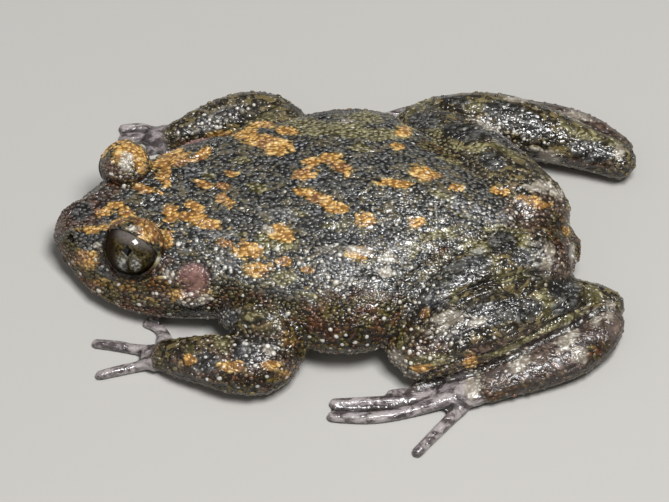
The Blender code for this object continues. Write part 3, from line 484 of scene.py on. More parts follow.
def rings(away, shapes):
    """Height of rounded ridges and grooves at a distance."""
    return sum(tall * bell(away - distance, width) for distance, width, tall in shapes)


def distances(places, point):
    """Distance of each place from a point, or from its own point."""
    return np.linalg.norm(places - np.array(point), axis=1)


def finder_of(places):
    """A tree that finds the nearest of some places."""
    finder = KDTree(len(places))
    for i, place in enumerate(places):
        finder.insert(place, i)
    finder.balance()
    return finder


def in_photo(places):
    """Where points lie in the photograph, in pixels, and how far they are from the camera."""
    away = places - np.array(CAMERA_PLACE)
    depth = -(away @ np.array(CAMERA_BACK))
    scale = CAMERA_DISTANCE / (depth * PIXEL)
    u = PHOTO_WIDTH / 2 + away @ np.array(CAMERA_RIGHT) * scale
    v = PHOTO_HEIGHT / 2 - away @ np.array(CAMERA_UP) * scale
    return u, v, depth


def photo_ray(u, v):
    """Direction of the camera's ray through a pixel of the photograph."""
    across = CAMERA_RIGHT * (u - PHOTO_WIDTH / 2) * PIXEL
    upward = CAMERA_UP * (PHOTO_HEIGHT / 2 - v) * PIXEL
    return (CAMERA_AIM + across + upward - CAMERA_PLACE).normalized()


def on_surface(tree, u, v):
    """The point of the surface that a pixel of the photograph shows, in millimetres, or None."""
    hit = tree.ray_cast(CAMERA_PLACE * MM, photo_ray(u, v))[0]
    return None if hit is None else hit / MM


def mirrored(places):
    """Points mirrored in the head's middle plane."""
    flipped = np.array(places, float)
    flipped[..., 1] = 2 * MIDDLE_Y - flipped[..., 1]
    return flipped


def path_distance(places, path):
    """Distance of each point from a line through the path's points."""
    best = np.full(len(places), 99.0)
    for one, other in zip(path, path[1:]):
        along = other - one
        t = np.clip((places - one) @ along / (along @ along), 0, 1)
        best = np.minimum(best, np.linalg.norm(places - one - t[:, None] * along, axis=1))
    return best


def spots_at(places, depths, spots):
    """How well each point lies in one of the spots: 1 at its middle, 0.5 on its rim, 0 well outside."""
    u, v, depth = in_photo(places)
    best = np.zeros(len(places))
    for (cu, cv, length, width, turn), spot_depth in zip(spots, depths):
        c, s = math.cos(math.radians(turn)), math.sin(math.radians(turn))
        x = ((u - cu) * c + (v - cv) * s) / length
        y = ((v - cv) * c - (u - cu) * s) / width
        deep = (depth - spot_depth) / SPOT_DEPTH
        best = np.maximum(best, 1 - 0.5 * np.sqrt(x * x + y * y + deep**4))
    return best


def spot_depths(tree, spots):
    """Distance from the camera of the surface under each spot's middle, and the spots that show on it."""
    shown, depths = [], []
    for spot in spots:
        hit = on_surface(tree, spot[0], spot[1])
        if hit is not None:
            shown.append(spot)
            depths.append((CAMERA_PLACE - hit).dot(CAMERA_BACK))
    return shown, depths


def painted(tree, places, normals, spots, seed):
    """The photograph's spots where it shows the skin, and elsewhere mirrored ones and more of the kind."""
    shown, depths = spot_depths(tree, spots)
    unseen = smooth_step(0.12, -0.12, normals @ np.array(CAMERA_BACK))
    more = 0.5 + 1.6 * (layered_noise(places / 2.2, seed, 2) - 0.66)
    elsewhere = np.maximum(more, spots_at(mirrored(places), depths, shown) - 0.08)
    return np.maximum(spots_at(places, depths, shown), unseen * elsewhere)


def spread(mesh, values, steps):
    """Values evened out over a mesh's edges."""
    edges = np.zeros(len(mesh.edges) * 2, np.int64)
    mesh.edges.foreach_get("vertices", edges)
    one, other = edges[0::2], edges[1::2]
    count = len(values)
    links = np.bincount(one, minlength=count) + np.bincount(other, minlength=count)
    for _ in range(steps):
        total = np.bincount(one, values[other], count) + np.bincount(other, values[one], count)
        values = 0.5 * values + 0.5 * total / np.maximum(links, 1)
    return values


def cavities(mesh):
    """How open the surface is at each vertex: 0 deep in a fold, 0.5 on a flat and 1 on a ridge."""
    places, normals = arrays_of(mesh)
    even = even_out(mesh, places, 5)
    sunk = ((even - places) * normals).sum(1)
    return np.clip(0.5 - sunk / 0.05, 0, 1)


def set_attribute(mesh, name, values):
    """Stores one number for each vertex."""
    found = mesh.attributes.get(name) or mesh.attributes.new(name, "FLOAT", "POINT")
    found.data.foreach_set("value", np.asarray(values, np.float32))


def get_attribute(mesh, name):
    """Reads one number for each vertex."""
    values = np.zeros(len(mesh.vertices), np.float32)
    mesh.attributes[name].data.foreach_get("value", values)
    return values


def link_new(name, data):
    """Links a mesh, curve, lamp or camera to the scene as an object, selected alone."""
    made = bpy.data.objects.new(name, data)
    bpy.context.scene.collection.objects.link(made)
    select_only(made)
    return made


def select_only(obj):
    """Makes an object the only selected one and the active one."""
    for other in bpy.context.view_layer.objects:
        other.select_set(False)
    obj.select_set(True)
    bpy.context.view_layer.objects.active = obj


def apply_modifier(obj, kind, **settings):
    """Adds a modifier, sets it and applies it."""
    modifier = obj.modifiers.new(kind.lower(), kind)
    for name, value in settings.items():
        setattr(modifier, name, value)
    select_only(obj)
    bpy.ops.object.modifier_apply(modifier=modifier.name)


def flesh_copy():
    """All parts of flesh in one mesh, with a ball in each eye socket to carry the lids."""
    shape = bmesh.new()
    for name in FLESH:
        part = bmesh.new()
        part.from_mesh(frame["nodes"][name].data)
        bmesh.ops.remove_doubles(part, verts=part.verts, dist=1e-6)
        mesh = bpy.data.meshes.new("part")
        part.to_mesh(mesh)
        part.free()
        shape.from_mesh(mesh)
        bpy.data.meshes.remove(mesh)
    for sign, centre in EYE_CENTRES.items():
        radius = EYE_RADII[sign] - CARRIER_UNDER_EYE
        ball = bmesh.ops.create_icosphere(shape, subdivisions=4, radius=radius * MM)
        bmesh.ops.translate(shape, vec=centre * MM, verts=ball["verts"])
    mesh = bpy.data.meshes.new("skin")
    shape.to_mesh(mesh)
    shape.free()
    return link_new("skin", mesh)


def nearest_parts(places):
    """The name of the part of flesh that each point lies nearest to."""
    owners, points = [], []
    for name in FLESH:
        found = arrays_of(frame["nodes"][name].data)[0]
        points.append(found)
        owners += [name] * len(found)
    finder = finder_of(np.concatenate(points))
    return np.array([owners[finder.find(place)[1]] for place in places])


def part_share(mesh, parts, *starts):
    """1 on the parts whose names start with one of the words, evened out at their borders."""
    inside = np.zeros(len(parts))
    for start in starts:
        inside = np.maximum(inside, np.char.startswith(parts, start).astype(float))
    return spread(mesh, inside, 8)


def shape_eyelids(places):
    """Brings the skin under each eyeball, and gives the upper lid its edge."""
    for sign, centre in EYE_CENTRES.items():
        offset = places - np.array(centre)
        reach = np.linalg.norm(offset, axis=1)
        ahead = offset @ np.array(EYE_FACING[sign]) - LID_EDGE[sign]
        outward = offset / np.maximum(reach, 1e-6)[:, None]
        radius = LID_RADIUS[sign]
        ball = (reach < LID_RADIUS[-1] + 0.06) & (ahead > LID_START)
        lid = (reach < LID_RADIUS[-1] + 0.22) & (ahead <= LID_START) & (ahead > LID_BACK)
        if sign > 0:
            loose = np.maximum(smooth_step(2.5, FREE_REACH, reach), smooth_step(-0.9, -2.0, offset[:, 2]))
            tight = (reach < FREE_REACH) & (reach > radius) & (ahead <= LID_START)
            reach = np.where(tight, radius + (reach - radius) * (0.1 + 0.9 * loose), reach)
            places[tight] = np.array(centre) + outward[tight] * reach[tight][:, None]
        sunk = np.minimum(reach[ball], EYE_RADII[sign] - SKIN_UNDER_EYE)
        places[ball] = np.array(centre) + outward[ball] * sunk[:, None]
        edge = radius + LID_EDGE_HEIGHT * bell(ahead + 0.12, LID_EDGE_WIDTH)
        raised = np.maximum(reach, np.where(offset[:, 2] > -0.4, edge, 0))
        places[lid] = np.array(centre) + outward[lid] * raised[lid][:, None]
    return places


def paths_height(tree, places, folds, both_sides):
    """Height of folds given as paths over the photograph, mirrored too where they lie on both sides."""
    height = np.zeros(len(places))
    for pixels, width, tall in folds:
        path = [np.array(hit) for hit in (on_surface(tree, u, v) for u, v in pixels) if hit is not None]
        lines = (path, [mirrored(point) for point in path]) if both_sides else (path,)
        for line in lines:
            height += tall * bell(path_distance(places, line), width)
    return height


def eardrums(tree):
    """Middles of the two eardrums on the skin. The far one lies a little lower on the head."""
    near = on_surface(tree, *EARDRUM_AT)
    far = Vector(mirrored(np.array(near))) + FAR_DRUM_DROP
    return np.array(near), np.array(tree.find_nearest(far * MM)[0] / MM)


def drum_drift(places):
    """How uneven the outline of an eardrum is."""
    return 0.5 * (layered_noise(places / 1.1, SEEDS["eardrums"], 2) - 0.5)


def head_relief(tree, places):
    """Height of the folds, lips, nostrils, eyelids and eardrums of the head."""
    height = paths_height(tree, places, HEAD_FOLDS, True)
    nostril, dome = (np.array(on_surface(tree, *at)) for at in (NOSTRIL_AT, LID_DOME_AT))
    for point in (nostril, mirrored(nostril)):
        height += rings(distances(places, point), NOSTRIL_RINGS)
    for point in eardrums(tree):
        away = distances(places, point) + drum_drift(places)
        height += rings(away, EARDRUM_RINGS)
        height -= EARDRUM_DEPTH * smooth_step(EARDRUM_RADIUS, EARDRUM_RADIUS - 0.4, away)
    for point in (dome, mirrored(dome)):
        height += rings(distances(places, point), LID_RINGS)
    back = np.clip((places[:, 0] - SNOUT_X) / (MOUTH_CORNER_X - SNOUT_X), 0, 1)
    line = MOUTH_FRONT_Z + (MOUTH_CORNER_Z - MOUTH_FRONT_Z) * back**2
    on_head = smooth_step(MOUTH_CORNER_X + 0.6, MOUTH_CORNER_X - 0.6, places[:, 0])
    return height + on_head * rings(places[:, 2] - line, LIP_RINGS)


def even_out(mesh, places, steps):
    """Places drawn together over a mesh's edges, which flattens small forms."""
    return np.stack([spread(mesh, places[:, k], steps) for k in range(3)], axis=1)


def flatten_drums(tree, mesh, places):
    """Takes the solid's eardrum rims off the skin, which gets finer ones."""
    even = even_out(mesh, places, 40)
    for point in eardrums(tree):
        away = distances(places, point)
        near = smooth_step(EARDRUM_RADIUS + 0.9, EARDRUM_RADIUS + 0.4, away)[:, None]
        places = places * (1 - near) + even * near
    return places


def skin_relief(settings, mesh, places, normals, parts, granular):
    """Height of the wrinkles and warts all over the body."""
    trunk = part_share(mesh, parts, *TRUNK)
    limbs = part_share(mesh, parts, *LIMBS)
    upper = smooth_step(-0.1, 0.5, normals[:, 2])
    head = part_share(mesh, parts, "head")
    drift = 1.4 * (layered_noise(places / 3.1, SEEDS["drift"], 2) - 0.5)
    lengthwise = np.stack([places[:, 0] / 2.1, places[:, 1] / 0.62 + drift, places[:, 2] / 0.62], axis=1)
    ridges = 1 - np.abs(2 * layered_noise(lengthwise, SEEDS["ridges"], 2) - 1)
    height = settings.wrinkle * trunk * upper * (1 - 0.35 * head) * (ridges**2 - 0.5)
    crossing = np.stack([places[:, 0] / 0.8, places[:, 1] / 0.5, places[:, 2] / 0.5], axis=1)
    folded = 1 - np.abs(2 * layered_noise(crossing, SEEDS["crossing"], 2) - 1)
    height += 0.4 * settings.wrinkle * (folded - 0.5) * upper
    distance, own = cell_distance(places / 1.25, SEEDS["warts"])
    wart = smooth_step(0.55, 0.0, distance) * (own > 0.45) * own
    height += settings.wart * wart * upper * (0.35 + 0.65 * np.maximum(granular, 0.5 * limbs))
    lumps = layered_noise(places / 2.6, SEEDS["lumps"], 2) - 0.5
    return height + 0.30 * lumps * trunk * (1 - 0.6 * head) + 0.12 * lumps * limbs


def paint_skin(tree, mesh, places, normals, parts):
    """Stores where each marking lies, as one number for each vertex and marking."""

    def laid(name, spots):
        return painted(tree, places, normals, spots, SEEDS[name])

    nostril = np.array(on_surface(tree, *NOSTRIL_AT))
    near_nostril = np.minimum(*(distances(places, point) for point in (nostril, mirrored(nostril))))
    near_drum = np.minimum(*(distances(places, point) for point in eardrums(tree))) + drum_drift(places)
    drums = smooth_step(EARDRUM_RADIUS + 0.45, EARDRUM_RADIUS - 0.45, near_drum)
    digits = part_share(mesh, parts, *DIGITS)
    limbs = part_share(mesh, parts, *LIMBS)
    tarsi = part_share(mesh, parts, "tarsus")
    trunk = part_share(mesh, parts, *TRUNK)
    flank = part_share(mesh, parts, "torso") * smooth_step(0.85, 0.35, normals[:, 2])
    down = smooth_step(-0.15, -0.75, normals[:, 2])
    behind_snout = smooth_step(-14.5, -9.5, places[:, 0])
    # The low mark is painted shade: near the floor, low on the trunk behind the snout, in a ring below each
    # eye, in the nostrils and on the shade spots, where the skin does not face up.
    low_trunk = trunk * smooth_step(6.0, 4.0, places[:, 2]) * behind_snout
    low = np.maximum(smooth_step(3.2, 0.9, places[:, 2]), low_trunk)
    for centre in EYE_CENTRES.values():
        ring = smooth_step(3.25, 2.7, distances(places, centre))
        low = np.maximum(low, 1.6 * ring * smooth_step(1.0, 0.2, places[:, 2] - centre.z))
    low = np.maximum(low, 1.8 * smooth_step(0.6, 0.3, near_nostril)) * smooth_step(0.95, 0.5, normals[:, 2])
    shaded = laid("shade", SHADE_SPOTS) + 0.3 * (layered_noise(places / 0.9, SEEDS["edge"], 2) - 0.5)
    marks = {
        "ochre": laid("ochre", OCHRE_SPOTS),
        "olive": laid("olive", OLIVE_SPOTS) * (1 - 0.5 * drums),
        "pale": laid("pale", PALE_SPOTS),
        # Silver marks painted sheen.
        "silver": laid("silver", SHEEN_SPOTS),
        "brown": np.maximum(laid("brown", BROWN_SPOTS), 0.72 * tarsi),
        # Dark also lays painted shade in the nostrils.
        "dark": np.maximum(laid("dark", DARK_SPOTS), smooth_step(0.5, 0.2, near_nostril)),
        "digit": np.maximum(digits, 0.15 * tarsi),
        "limb": np.maximum(limbs, flank),
        "drum": drums,
        "low": np.maximum(low, smooth_step(0.35, 0.75, shaded)) * (1 - digits),
        "belly": down * (1 - 0.3 * limbs) * (1 - 0.6 * digits),
    }
    for name, values in marks.items():
        set_attribute(mesh, name, spread(mesh, values, 2))


class Shader:
    """A material's node tree, to which nodes are added one at a time."""

    def __init__(self, name):
        self.material = bpy.data.materials.new(name)
        self.material.use_nodes = True
        self.tree = self.material.node_tree
        self.tree.nodes.clear()

    def node(self, kind, settings, inputs, output=0):
        """Adds a node, sets it, links or sets its sockets and gives one of its outputs."""
        made = self.tree.nodes.new("ShaderNode" + kind)
        for name, value in settings.items():
            setattr(made, name, value)
        for name, value in inputs.items():
            if isinstance(value, Value):
                self.tree.links.new(value.socket, made.inputs[name])
            else:
                made.inputs[name].default_value = value
        return Value(self, made.outputs[output]) if made.outputs else made

    def attribute(self, name):
        """A number stored on the mesh."""
        return self.node("Attribute", {"attribute_name": name}, {}, "Fac")

    def mix(self, factor, one, other):
        """One colour at factor 0 and the other at factor 1."""
        colours = [c if isinstance(c, Value) else (*c, 1.0) for c in (one, other)]
        inputs = {0: factor, 6: colours[0], 7: colours[1]}
        return self.node("Mix", {"data_type": "RGBA"}, inputs, 2)

    def place(self):
        """Where the surface is, in millimetres."""
        return self.scaled(self.node("TexCoord", {}, {}, "Object"), (1 / MM, 1 / MM, 1 / MM))

    def scaled(self, vector, scale):
        """A vector times three numbers."""
        return self.node("VectorMath", {"operation": "MULTIPLY"}, {0: vector, 1: scale})

    def noise(self, vector, scale, detail=3.0):
        """Noise from 0 to 1."""
        inputs = {"Vector": vector, "Scale": scale, "Detail": detail, "Roughness": 0.6}
        return self.node("TexNoise", {}, inputs, "Fac")

    def cells(self, vector, scale, output="Distance"):
        """Distance from the middle of the nearest cell, or another of the cell's numbers."""
        inputs = {"Vector": vector, "Scale": scale, "Randomness": 1.0}
        return self.node("TexVoronoi", {}, inputs, output)

    def step(self, low, high, value):
        """0 below low, 1 above high and smooth between."""
        inputs = {"Value": value, "From Min": low, "From Max": high}
        return self.node("MapRange", {"interpolation_type": "SMOOTHSTEP"}, inputs, "Result")

    def finish(self, deep=None, **sockets):
        """Ends the tree with a Principled shader, or with two where some of the surface hardly shines."""
        names = {name.replace("_", " "): value for name, value in sockets.items()}
        shader = self.node("BsdfPrincipled", {}, names, "BSDF")
        if deep is not None:
            names.update({"Specular IOR Level": DEEP_SHINE, "Coat Weight": 0.0})
            other = self.node("BsdfPrincipled", {}, names, "BSDF")
            shader = self.node("MixShader", {}, {0: deep, 1: shader, 2: other})
        self.node("OutputMaterial", {}, {"Surface": shader})
        return self.material


class Value:
    """An output socket, on which Python's operators add Math nodes."""

    def __init__(self, shader, socket):
        self.shader = shader
        self.socket = socket

    def math(self, operation, one, other):
        return self.shader.node("Math", {"operation": operation}, {0: one, 1: other})

    def __add__(self, other):
        return self.math("ADD", self, other)

    __radd__ = __add__

    def __sub__(self, other):
        return self.math("SUBTRACT", self, other)

    def __rsub__(self, other):
        return self.math("SUBTRACT", other, self)

    def __mul__(self, other):
        return self.math("MULTIPLY", self, other)

    __rmul__ = __mul__

    def __truediv__(self, other):
        return self.math("DIVIDE", self, other)

    def most(self, other):
        return self.math("MAXIMUM", self, other)

    def size(self):
        return self.math("ABSOLUTE", self, 0.0)


def skin_material(settings):
    """Wet skin in lens-shaped scales with dark lines between: slate, with ochre, olive and pale marks, painted
    shade and highlight.
    """
    shader = Shader("frog_skin")
    mix, step, noise, place = shader.mix, shader.step, shader.noise, shader.place()
    names = "limb granule granular shade digit drum low warm tint cavity belly"
    limb, granule, granular, shade, digit, drum, low, warm, tint, cavity, belly = (
        shader.attribute(name) for name in names.split()
    )
    drift = shader.node("TexNoise", {}, {"Vector": place, "Scale": 0.6, "Detail": 2.0}, "Color")
    long = shader.scaled(place, (0.55, 1.0, 1.0))
    bent = shader.node("VectorMath", {"operation": "MULTIPLY_ADD"}, {0: drift, 1: (1.5, 1.5, 1.5), 2: long})

    # The fine pattern: lens-shaped scales with a number of their own, round beads and dark creases.
    lens = step(0.64, 0.10, shader.cells(bent, settings.scales))
    own = shader.cells(bent, settings.scales, "Color")
    bead = step(0.62, 0.12, shader.cells(place, settings.beads))
    crease = step(0.0, 0.07, (noise(bent, 1.2, 1.0) - 0.5).size())
    relief = (lens * 0.72 + bead * 0.28) * (crease * 0.65 + 0.35)
    broad = noise(bent, 0.9, 4.0)
    # The tone is lighter on raised scales, a painted highlight, and darker in creases, a painted shade, mixed
    # with each scale's own tone and a broad noise.
    tone = step(0.10, 1.0, relief * 0.70 + own * 0.35 + (broad - 0.5) * 0.5)
    tone = tone * (1 - granule) + (shade * 0.80 + 0.06) * granule
    ragged = (broad - 0.5) * 0.70 + (own - 0.5) * 0.24 + (relief - 0.45) * 0.12

    def mark(name, edge, extra, torn):
        return step(0.5 - edge, 0.5 + edge, shader.attribute(name) + ragged * torn + extra)

    def laid(under, name, edge, extra, torn, share, creased, raised):
        colour = mix(tone, creased, getattr(settings, raised))
        return mix(mark(name, edge, extra, torn) * share, under, colour)

    # The ground colours and the markings on them.
    slate = mix(tone, settings.slate, settings.slate_light)
    olive_ground = mix(tone, (0.010, 0.007, 0.002), (0.130, 0.094, 0.034))
    colour = mix(limb * 0.75, slate, olive_ground)
    flecks = step(0.60, 0.68, own) * (0.30 + limb * 0.35)
    colour = mix(flecks, colour, (0.19, 0.145, 0.055))
    for layer in SKIN_LAYERS:
        colour = laid(colour, *layer)

    ochre = mix(step(0.0, 0.75, tone), (0.22, 0.100, 0.022), settings.ochre)
    # Raised scales of some cells paler gold, partly their own tone and partly painted highlight.
    ochre = mix(step(0.58, 0.70, own) * lens, ochre, (0.68, 0.50, 0.22))
    rust = mix(tone, (0.10, 0.035, 0.012), (0.50, 0.29, 0.15))
    ochre = mix(step(0.50, 0.62, noise(place, 0.45)) * 0.8, ochre, rust)
    in_ochre = mark("ochre", 0.05, 0.0, 1.25)
    colour = mix(in_ochre * 0.95, colour, ochre)

    # Eardrums, digits and the pale blotches over them.
    streaks = step(0.32, 0.68, noise(bent, 1.6))
    drum_colour = mix(streaks, (0.10, 0.038, 0.036), settings.drum)
    drum_colour = mix(step(0.9, 0.35, drum), drum_colour, (0.05, 0.022, 0.018))
    colour = mix(drum, colour, drum_colour)
    mottle = step(0.38, 0.64, noise(bent, 1.5))
    digit_colour = mix(mottle, (0.055, 0.042, 0.043), settings.digit)
    colour = mix(digit * 0.9, colour, digit_colour)
    colour = laid(colour, *PALE_LAYER)

    # The painted shade of the underparts, the belly, and what is on granules and the painted shade in folds.
    blotch = step(0.42, 0.54, noise(place, 0.75))
    raised_shadow = mix(blotch, (0.150, 0.052, 0.015), (0.120, 0.096, 0.016))
    shadow = mix(tone, (0.005, 0.003, 0.001), raised_shadow)
    colour = mix(low * (0.96 - granule * 0.18), colour, shadow)
    under = mix(step(0.4, 0.7, broad), settings.belly, (0.22, 0.19, 0.155))
    colour = mix(belly, colour, under)
    tan = step(0.70, 0.90, warm) * granule * granular * (0.5 - low * 0.4)
    colour = mix(tan, colour, (0.30, 0.215, 0.090))
    # Pale granule tops, partly their own pale tips and partly painted highlight.
    colour = mix(tint * granule, colour, (0.64, 0.62, 0.56))
    # Painted shade in creases and hollows, weaker inside ochre patches.
    crease_shade = step(0.38, 0.02, cavity) * (0.8 - in_ochre * 0.45)
    colour = mix(crease_shade, colour, (0.007, 0.005, 0.003))

    calm = (1 - granule * 0.85) * (1 - drum * 0.6) * (1 - digit * 0.5)
    height = (lens * 0.7 + bead * 0.3 + crease * 0.7) * calm
    bump = shader.node("Bump", {}, {"Strength": 1.0, "Distance": settings.bump * MM, "Height": height})
    return shader.finish(
        deep=low * step(0.25, 0.75, noise(place, 2.2, 2.0)) * 0.95,
        Base_Color=colour,
        Roughness=0.12 + 0.22 * noise(place, 1.3, 2.0) + 0.7 * digit * (1 - digit),
        Normal=bump,
        Specular_IOR_Level=settings.shine,
        Coat_Weight=settings.film,
        Coat_Roughness=0.15,
    )


def eye_material(settings, name, centre, gaze):
    """A bronze iris with fine veins and a painted pale reflection above, a rhomboid pupil and silvery flecks
    below it.
    """
    shader = Shader(name)
    mix, step, noise, place = shader.mix, shader.step, shader.noise, shader.place()
    offset = shader.node("VectorMath", {"operation": "SUBTRACT"}, {0: place, 1: tuple(centre)})
    across = Vector((-1, 0, 0))
    across = (across - gaze * across.dot(gaze)).normalized()
    upward = gaze.cross(across) * (-1 if gaze.cross(across).z < 0 else 1)

    def along(axis):
        return shader.node("VectorMath", {"operation": "DOT_PRODUCT"}, {0: offset, 1: tuple(axis)}, "Value")

    x, y, ahead = along(across), along(upward), along(gaze)
    ragged = (noise(place, 5.0, 2.0) - 0.5) * 0.5
    behind = 6 * step(0.5, 0.0, ahead)

    # The pupil, with pale lines along its lower edges.
    rhomb = x.size() / settings.pupil_width + y.size() / settings.pupil_height + ragged * 0.3 + behind
    pupil = step(1.08, 1.0, rhomb)
    lower = step(0.05, -0.20, y)
    lines = step(0.30, 0.02, (rhomb - 1.34).size()) * lower

    # The iris, with two lobes of silvery flecks.
    veins = noise(place, 4.0, 4.0)
    iris = mix(step(0.40, 0.58, veins), (0.010, 0.007, 0.003), settings.iris)
    iris = mix(step(0.58, 0.72, veins), iris, (0.125, 0.100, 0.036))
    side = (x.size() - 0.50) / 0.52
    below = (y + 1.10) / 0.72
    lobe = side * side + below * below
    split = step(0.03, 0.20, x.size() + ragged * 0.3)
    flecks = (step(1.35, 0.15, lobe + ragged * 4.5) * split).most(lines * 0.55)
    net = step(0.43, 0.60, noise(place, 3.4))
    colour = mix(flecks * (0.12 + net * 0.88), iris, settings.silver)

    # The painted pale reflection above, the dark ring of painted shade towards the lids, and the front corner,
    # darker with painted shade and duller.
    sky_reflection = step(0.15, 1.15, y - x * 0.35) * 0.42
    colour = mix(sky_reflection, colour, (0.19, 0.170, 0.172))
    outer = step(1.7, 0.8, ahead)
    colour = mix(outer * 0.92, colour, (0.004, 0.0025, 0.0012))
    colour = mix(step(0.7, 1.5, x) * 0.8, colour, (0.014, 0.007, 0.003))
    open_side = step(1.5, 0.9, x) * step(-1.5, -0.7, y)
    colour = mix(pupil, colour, (0.001, 0.001, 0.001))
    return shader.finish(
        Base_Color=colour,
        Roughness=0.5,
        Specular_IOR_Level=0.0,
        Coat_Weight=open_side * 0.92 + 0.08,
        Coat_Roughness=0.02,
        Coat_IOR=1.38,
    )


def plain_material(name, colour, roughness):
    """A matt surface with a faint unevenness."""
    shader = Shader(name)
    cloud = shader.noise(shader.node("TexCoord", {}, {}, "Object"), 9.0)
    darker = [0.94 * c for c in colour]
    return shader.finish(Base_Color=shader.mix(cloud, darker, colour), Roughness=roughness)


class FROG_OT_skin(bpy.types.Operator):
    """Builds one seamless skin over every part of flesh"""

    bl_idname = "frog.skin"
    bl_label = "Frog skin"

    def execute(self, context):
        settings = context.scene.frog_skin
        skin = flesh_copy()
        fill = settings.seam_fill * MM
        apply_modifier(skin, "DISPLACE", strength=fill, mid_level=0.0)
        apply_modifier(skin, "REMESH", mode="VOXEL", voxel_size=settings.voxel * MM)
        apply_modifier(skin, "DISPLACE", strength=-fill, mid_level=0.0)
        apply_modifier(skin, "SMOOTH", factor=0.5, iterations=4)
        mesh = skin.data
        places, normals = arrays_of(mesh)
        parts = nearest_parts(places)
        tree = BVHTree.FromObject(skin, context.evaluated_depsgraph_get())
        places = flatten_drums(tree, mesh, places)
        granular = painted(tree, places, normals, GRANULE_SPOTS, SEEDS["granular"])
        digits = part_share(mesh, parts, *DIGITS)
        height = head_relief(tree, places) * part_share(mesh, parts, "head")
        height += paths_height(tree, places, BODY_FOLDS, False)
        paint_skin(tree, mesh, places, normals, parts)
        calm = (1 - 0.8 * digits) * (1 - 0.9 * get_attribute(mesh, "drum"))
        height += skin_relief(settings, mesh, places, normals, parts, granular) * calm
        set_attribute(mesh, "granular", granular)
        places = shape_eyelids(places + normals * height[:, None])
        places[:, 2] = np.maximum(places[:, 2], 0)
        mesh.vertices.foreach_set("co", (places * MM).ravel())
        mesh.update()
        set_attribute(mesh, "cavity", cavities(mesh))
        mesh.calc_loop_triangles()
        apply_modifier(skin, "DECIMATE", ratio=min(1.0, settings.triangles / len(mesh.loop_triangles)))
        skin.data.shade_smooth()
        skin.data.materials.clear()
        skin.data.materials.append(skin_material(settings))
        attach(skin, BODY)
        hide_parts(*FLESH)
        return {"FINISHED"}


def dome():
    """A small closed dome of radius 1 on its flat side, as points and triangles."""
    sides, angles = 7, (42, 88)
    points = [(0, 0, 1)]
    for angle in angles:
        reach, rise = math.sin(math.radians(angle)), math.cos(math.radians(angle))
        for k in range(sides):
            turn = 2 * math.pi * k / sides
            points.append((reach * math.cos(turn), reach * math.sin(turn), rise))
    points.append((0, 0, -0.3))
    faces = []
    last = len(points) - 1
    for k in range(sides):
        j = (k + 1) % sides
        inner, outer = 1, 1 + sides
        faces.append((0, inner + k, inner + j))
        faces += [(inner + k, outer + k, outer + j), (inner + k, outer + j, inner + j)]
        faces.append((last, outer + j, outer + k))
    return np.array(points, float), np.array(faces)


def scattered(places, weights, spacing, count, random):
    """Indexes of points taken in turn where weights are high, none nearer than spacing to another."""
    chance = weights / weights.sum()
    tries = min(count * 6, int((weights > 0).sum()))
    order = random.choice(len(places), size=tries, replace=False, p=chance)
    taken, grid = [], {}
    for index in order:
        x, y, z = places[index].tolist()
        a, b, c = math.floor(x), math.floor(y), math.floor(z)
        cells = ((a + i - 1, b + j - 1, c + k - 1) for i, j, k in np.ndindex(3, 3, 3))
        near = [other for cell in cells for other in grid.get(cell, ())]
        if all((x - p) ** 2 + (y - q) ** 2 + (z - r) ** 2 > spacing[index] ** 2 for p, q, r in near):
            grid.setdefault((a, b, c), []).append((x, y, z))
            taken.append(index)
            if len(taken) == count:
                break
    return np.array(taken)


def granule_mesh(name, skin, taken, radii, stretches, turns, height, tints):
    """One mesh of domes that stand on the skin's vertices."""
    places, normals = arrays_of(skin.data)
    places, normals = places[taken], normals[taken]
    along = np.stack([np.cos(turns), np.sin(turns), np.zeros(len(taken))], axis=1)
    along -= normals * (along * normals).sum(1)[:, None]
    along /= np.maximum(np.linalg.norm(along, axis=1), 1e-6)[:, None]
    across = np.cross(normals, along)
    points, faces = dome()
    sunk = places - normals * (0.25 * radii * height)[:, None]
    x = points[:, 0][None, :, None] * (along * (radii * stretches)[:, None])[:, None, :]
    y = points[:, 1][None, :, None] * (across * radii[:, None])[:, None, :]
    z = points[:, 2][None, :, None] * (normals * (radii * height)[:, None])[:, None, :]
    whole = (sunk[:, None, :] + x + y + z).reshape(-1, 3)
    whole[:, 2] = np.maximum(whole[:, 2], 0.02)
    starts = np.arange(len(taken))[:, None, None] * len(points)
    triangles = (faces[None] + starts).reshape(-1, 3)
    mesh = bpy.data.meshes.new(name)
    mesh.from_pydata((whole * MM).tolist(), [], triangles.tolist())
    for mark in (*SKIN_MARKS, "granular"):
        set_attribute(mesh, mark, np.repeat(get_attribute(skin.data, mark)[taken], len(points)))
    tops = np.clip(points[:, 2], 0, 1)
    set_attribute(mesh, "granule", np.ones(len(whole)))
    # Cavity is low at each granule's foot, where the skin's colour takes painted shade.
    set_attribute(mesh, "cavity", np.tile(0.15 + 0.85 * tops, len(taken)))
    # Tint: a pale colour on each granule's top, partly its own pale tip and partly painted highlight.
    set_attribute(mesh, "tint", (tints[:, None] * tops[None, :]).ravel())
    random = np.random.default_rng(len(taken))
    shades = random.random(len(taken))
    shades = 0.45 + 0.35 * shades if stretches.min() > LENS_STRETCH else shades**2
    set_attribute(mesh, "shade", np.repeat(shades, len(points)))
    set_attribute(mesh, "warm", np.repeat(random.random(len(taken)), len(points)))
    mesh.shade_smooth()
    return link_new(name, mesh)


def add_granules(name, skin, taken, radii, stretches, turns, height, tints):
    """Builds one mesh of granules in the skin's material and lets it ride on the body."""
    made = granule_mesh(name, skin, taken, radii, stretches, turns, height, tints)
    made.data.materials.append(skin.data.materials[0])
    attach(made, BODY)


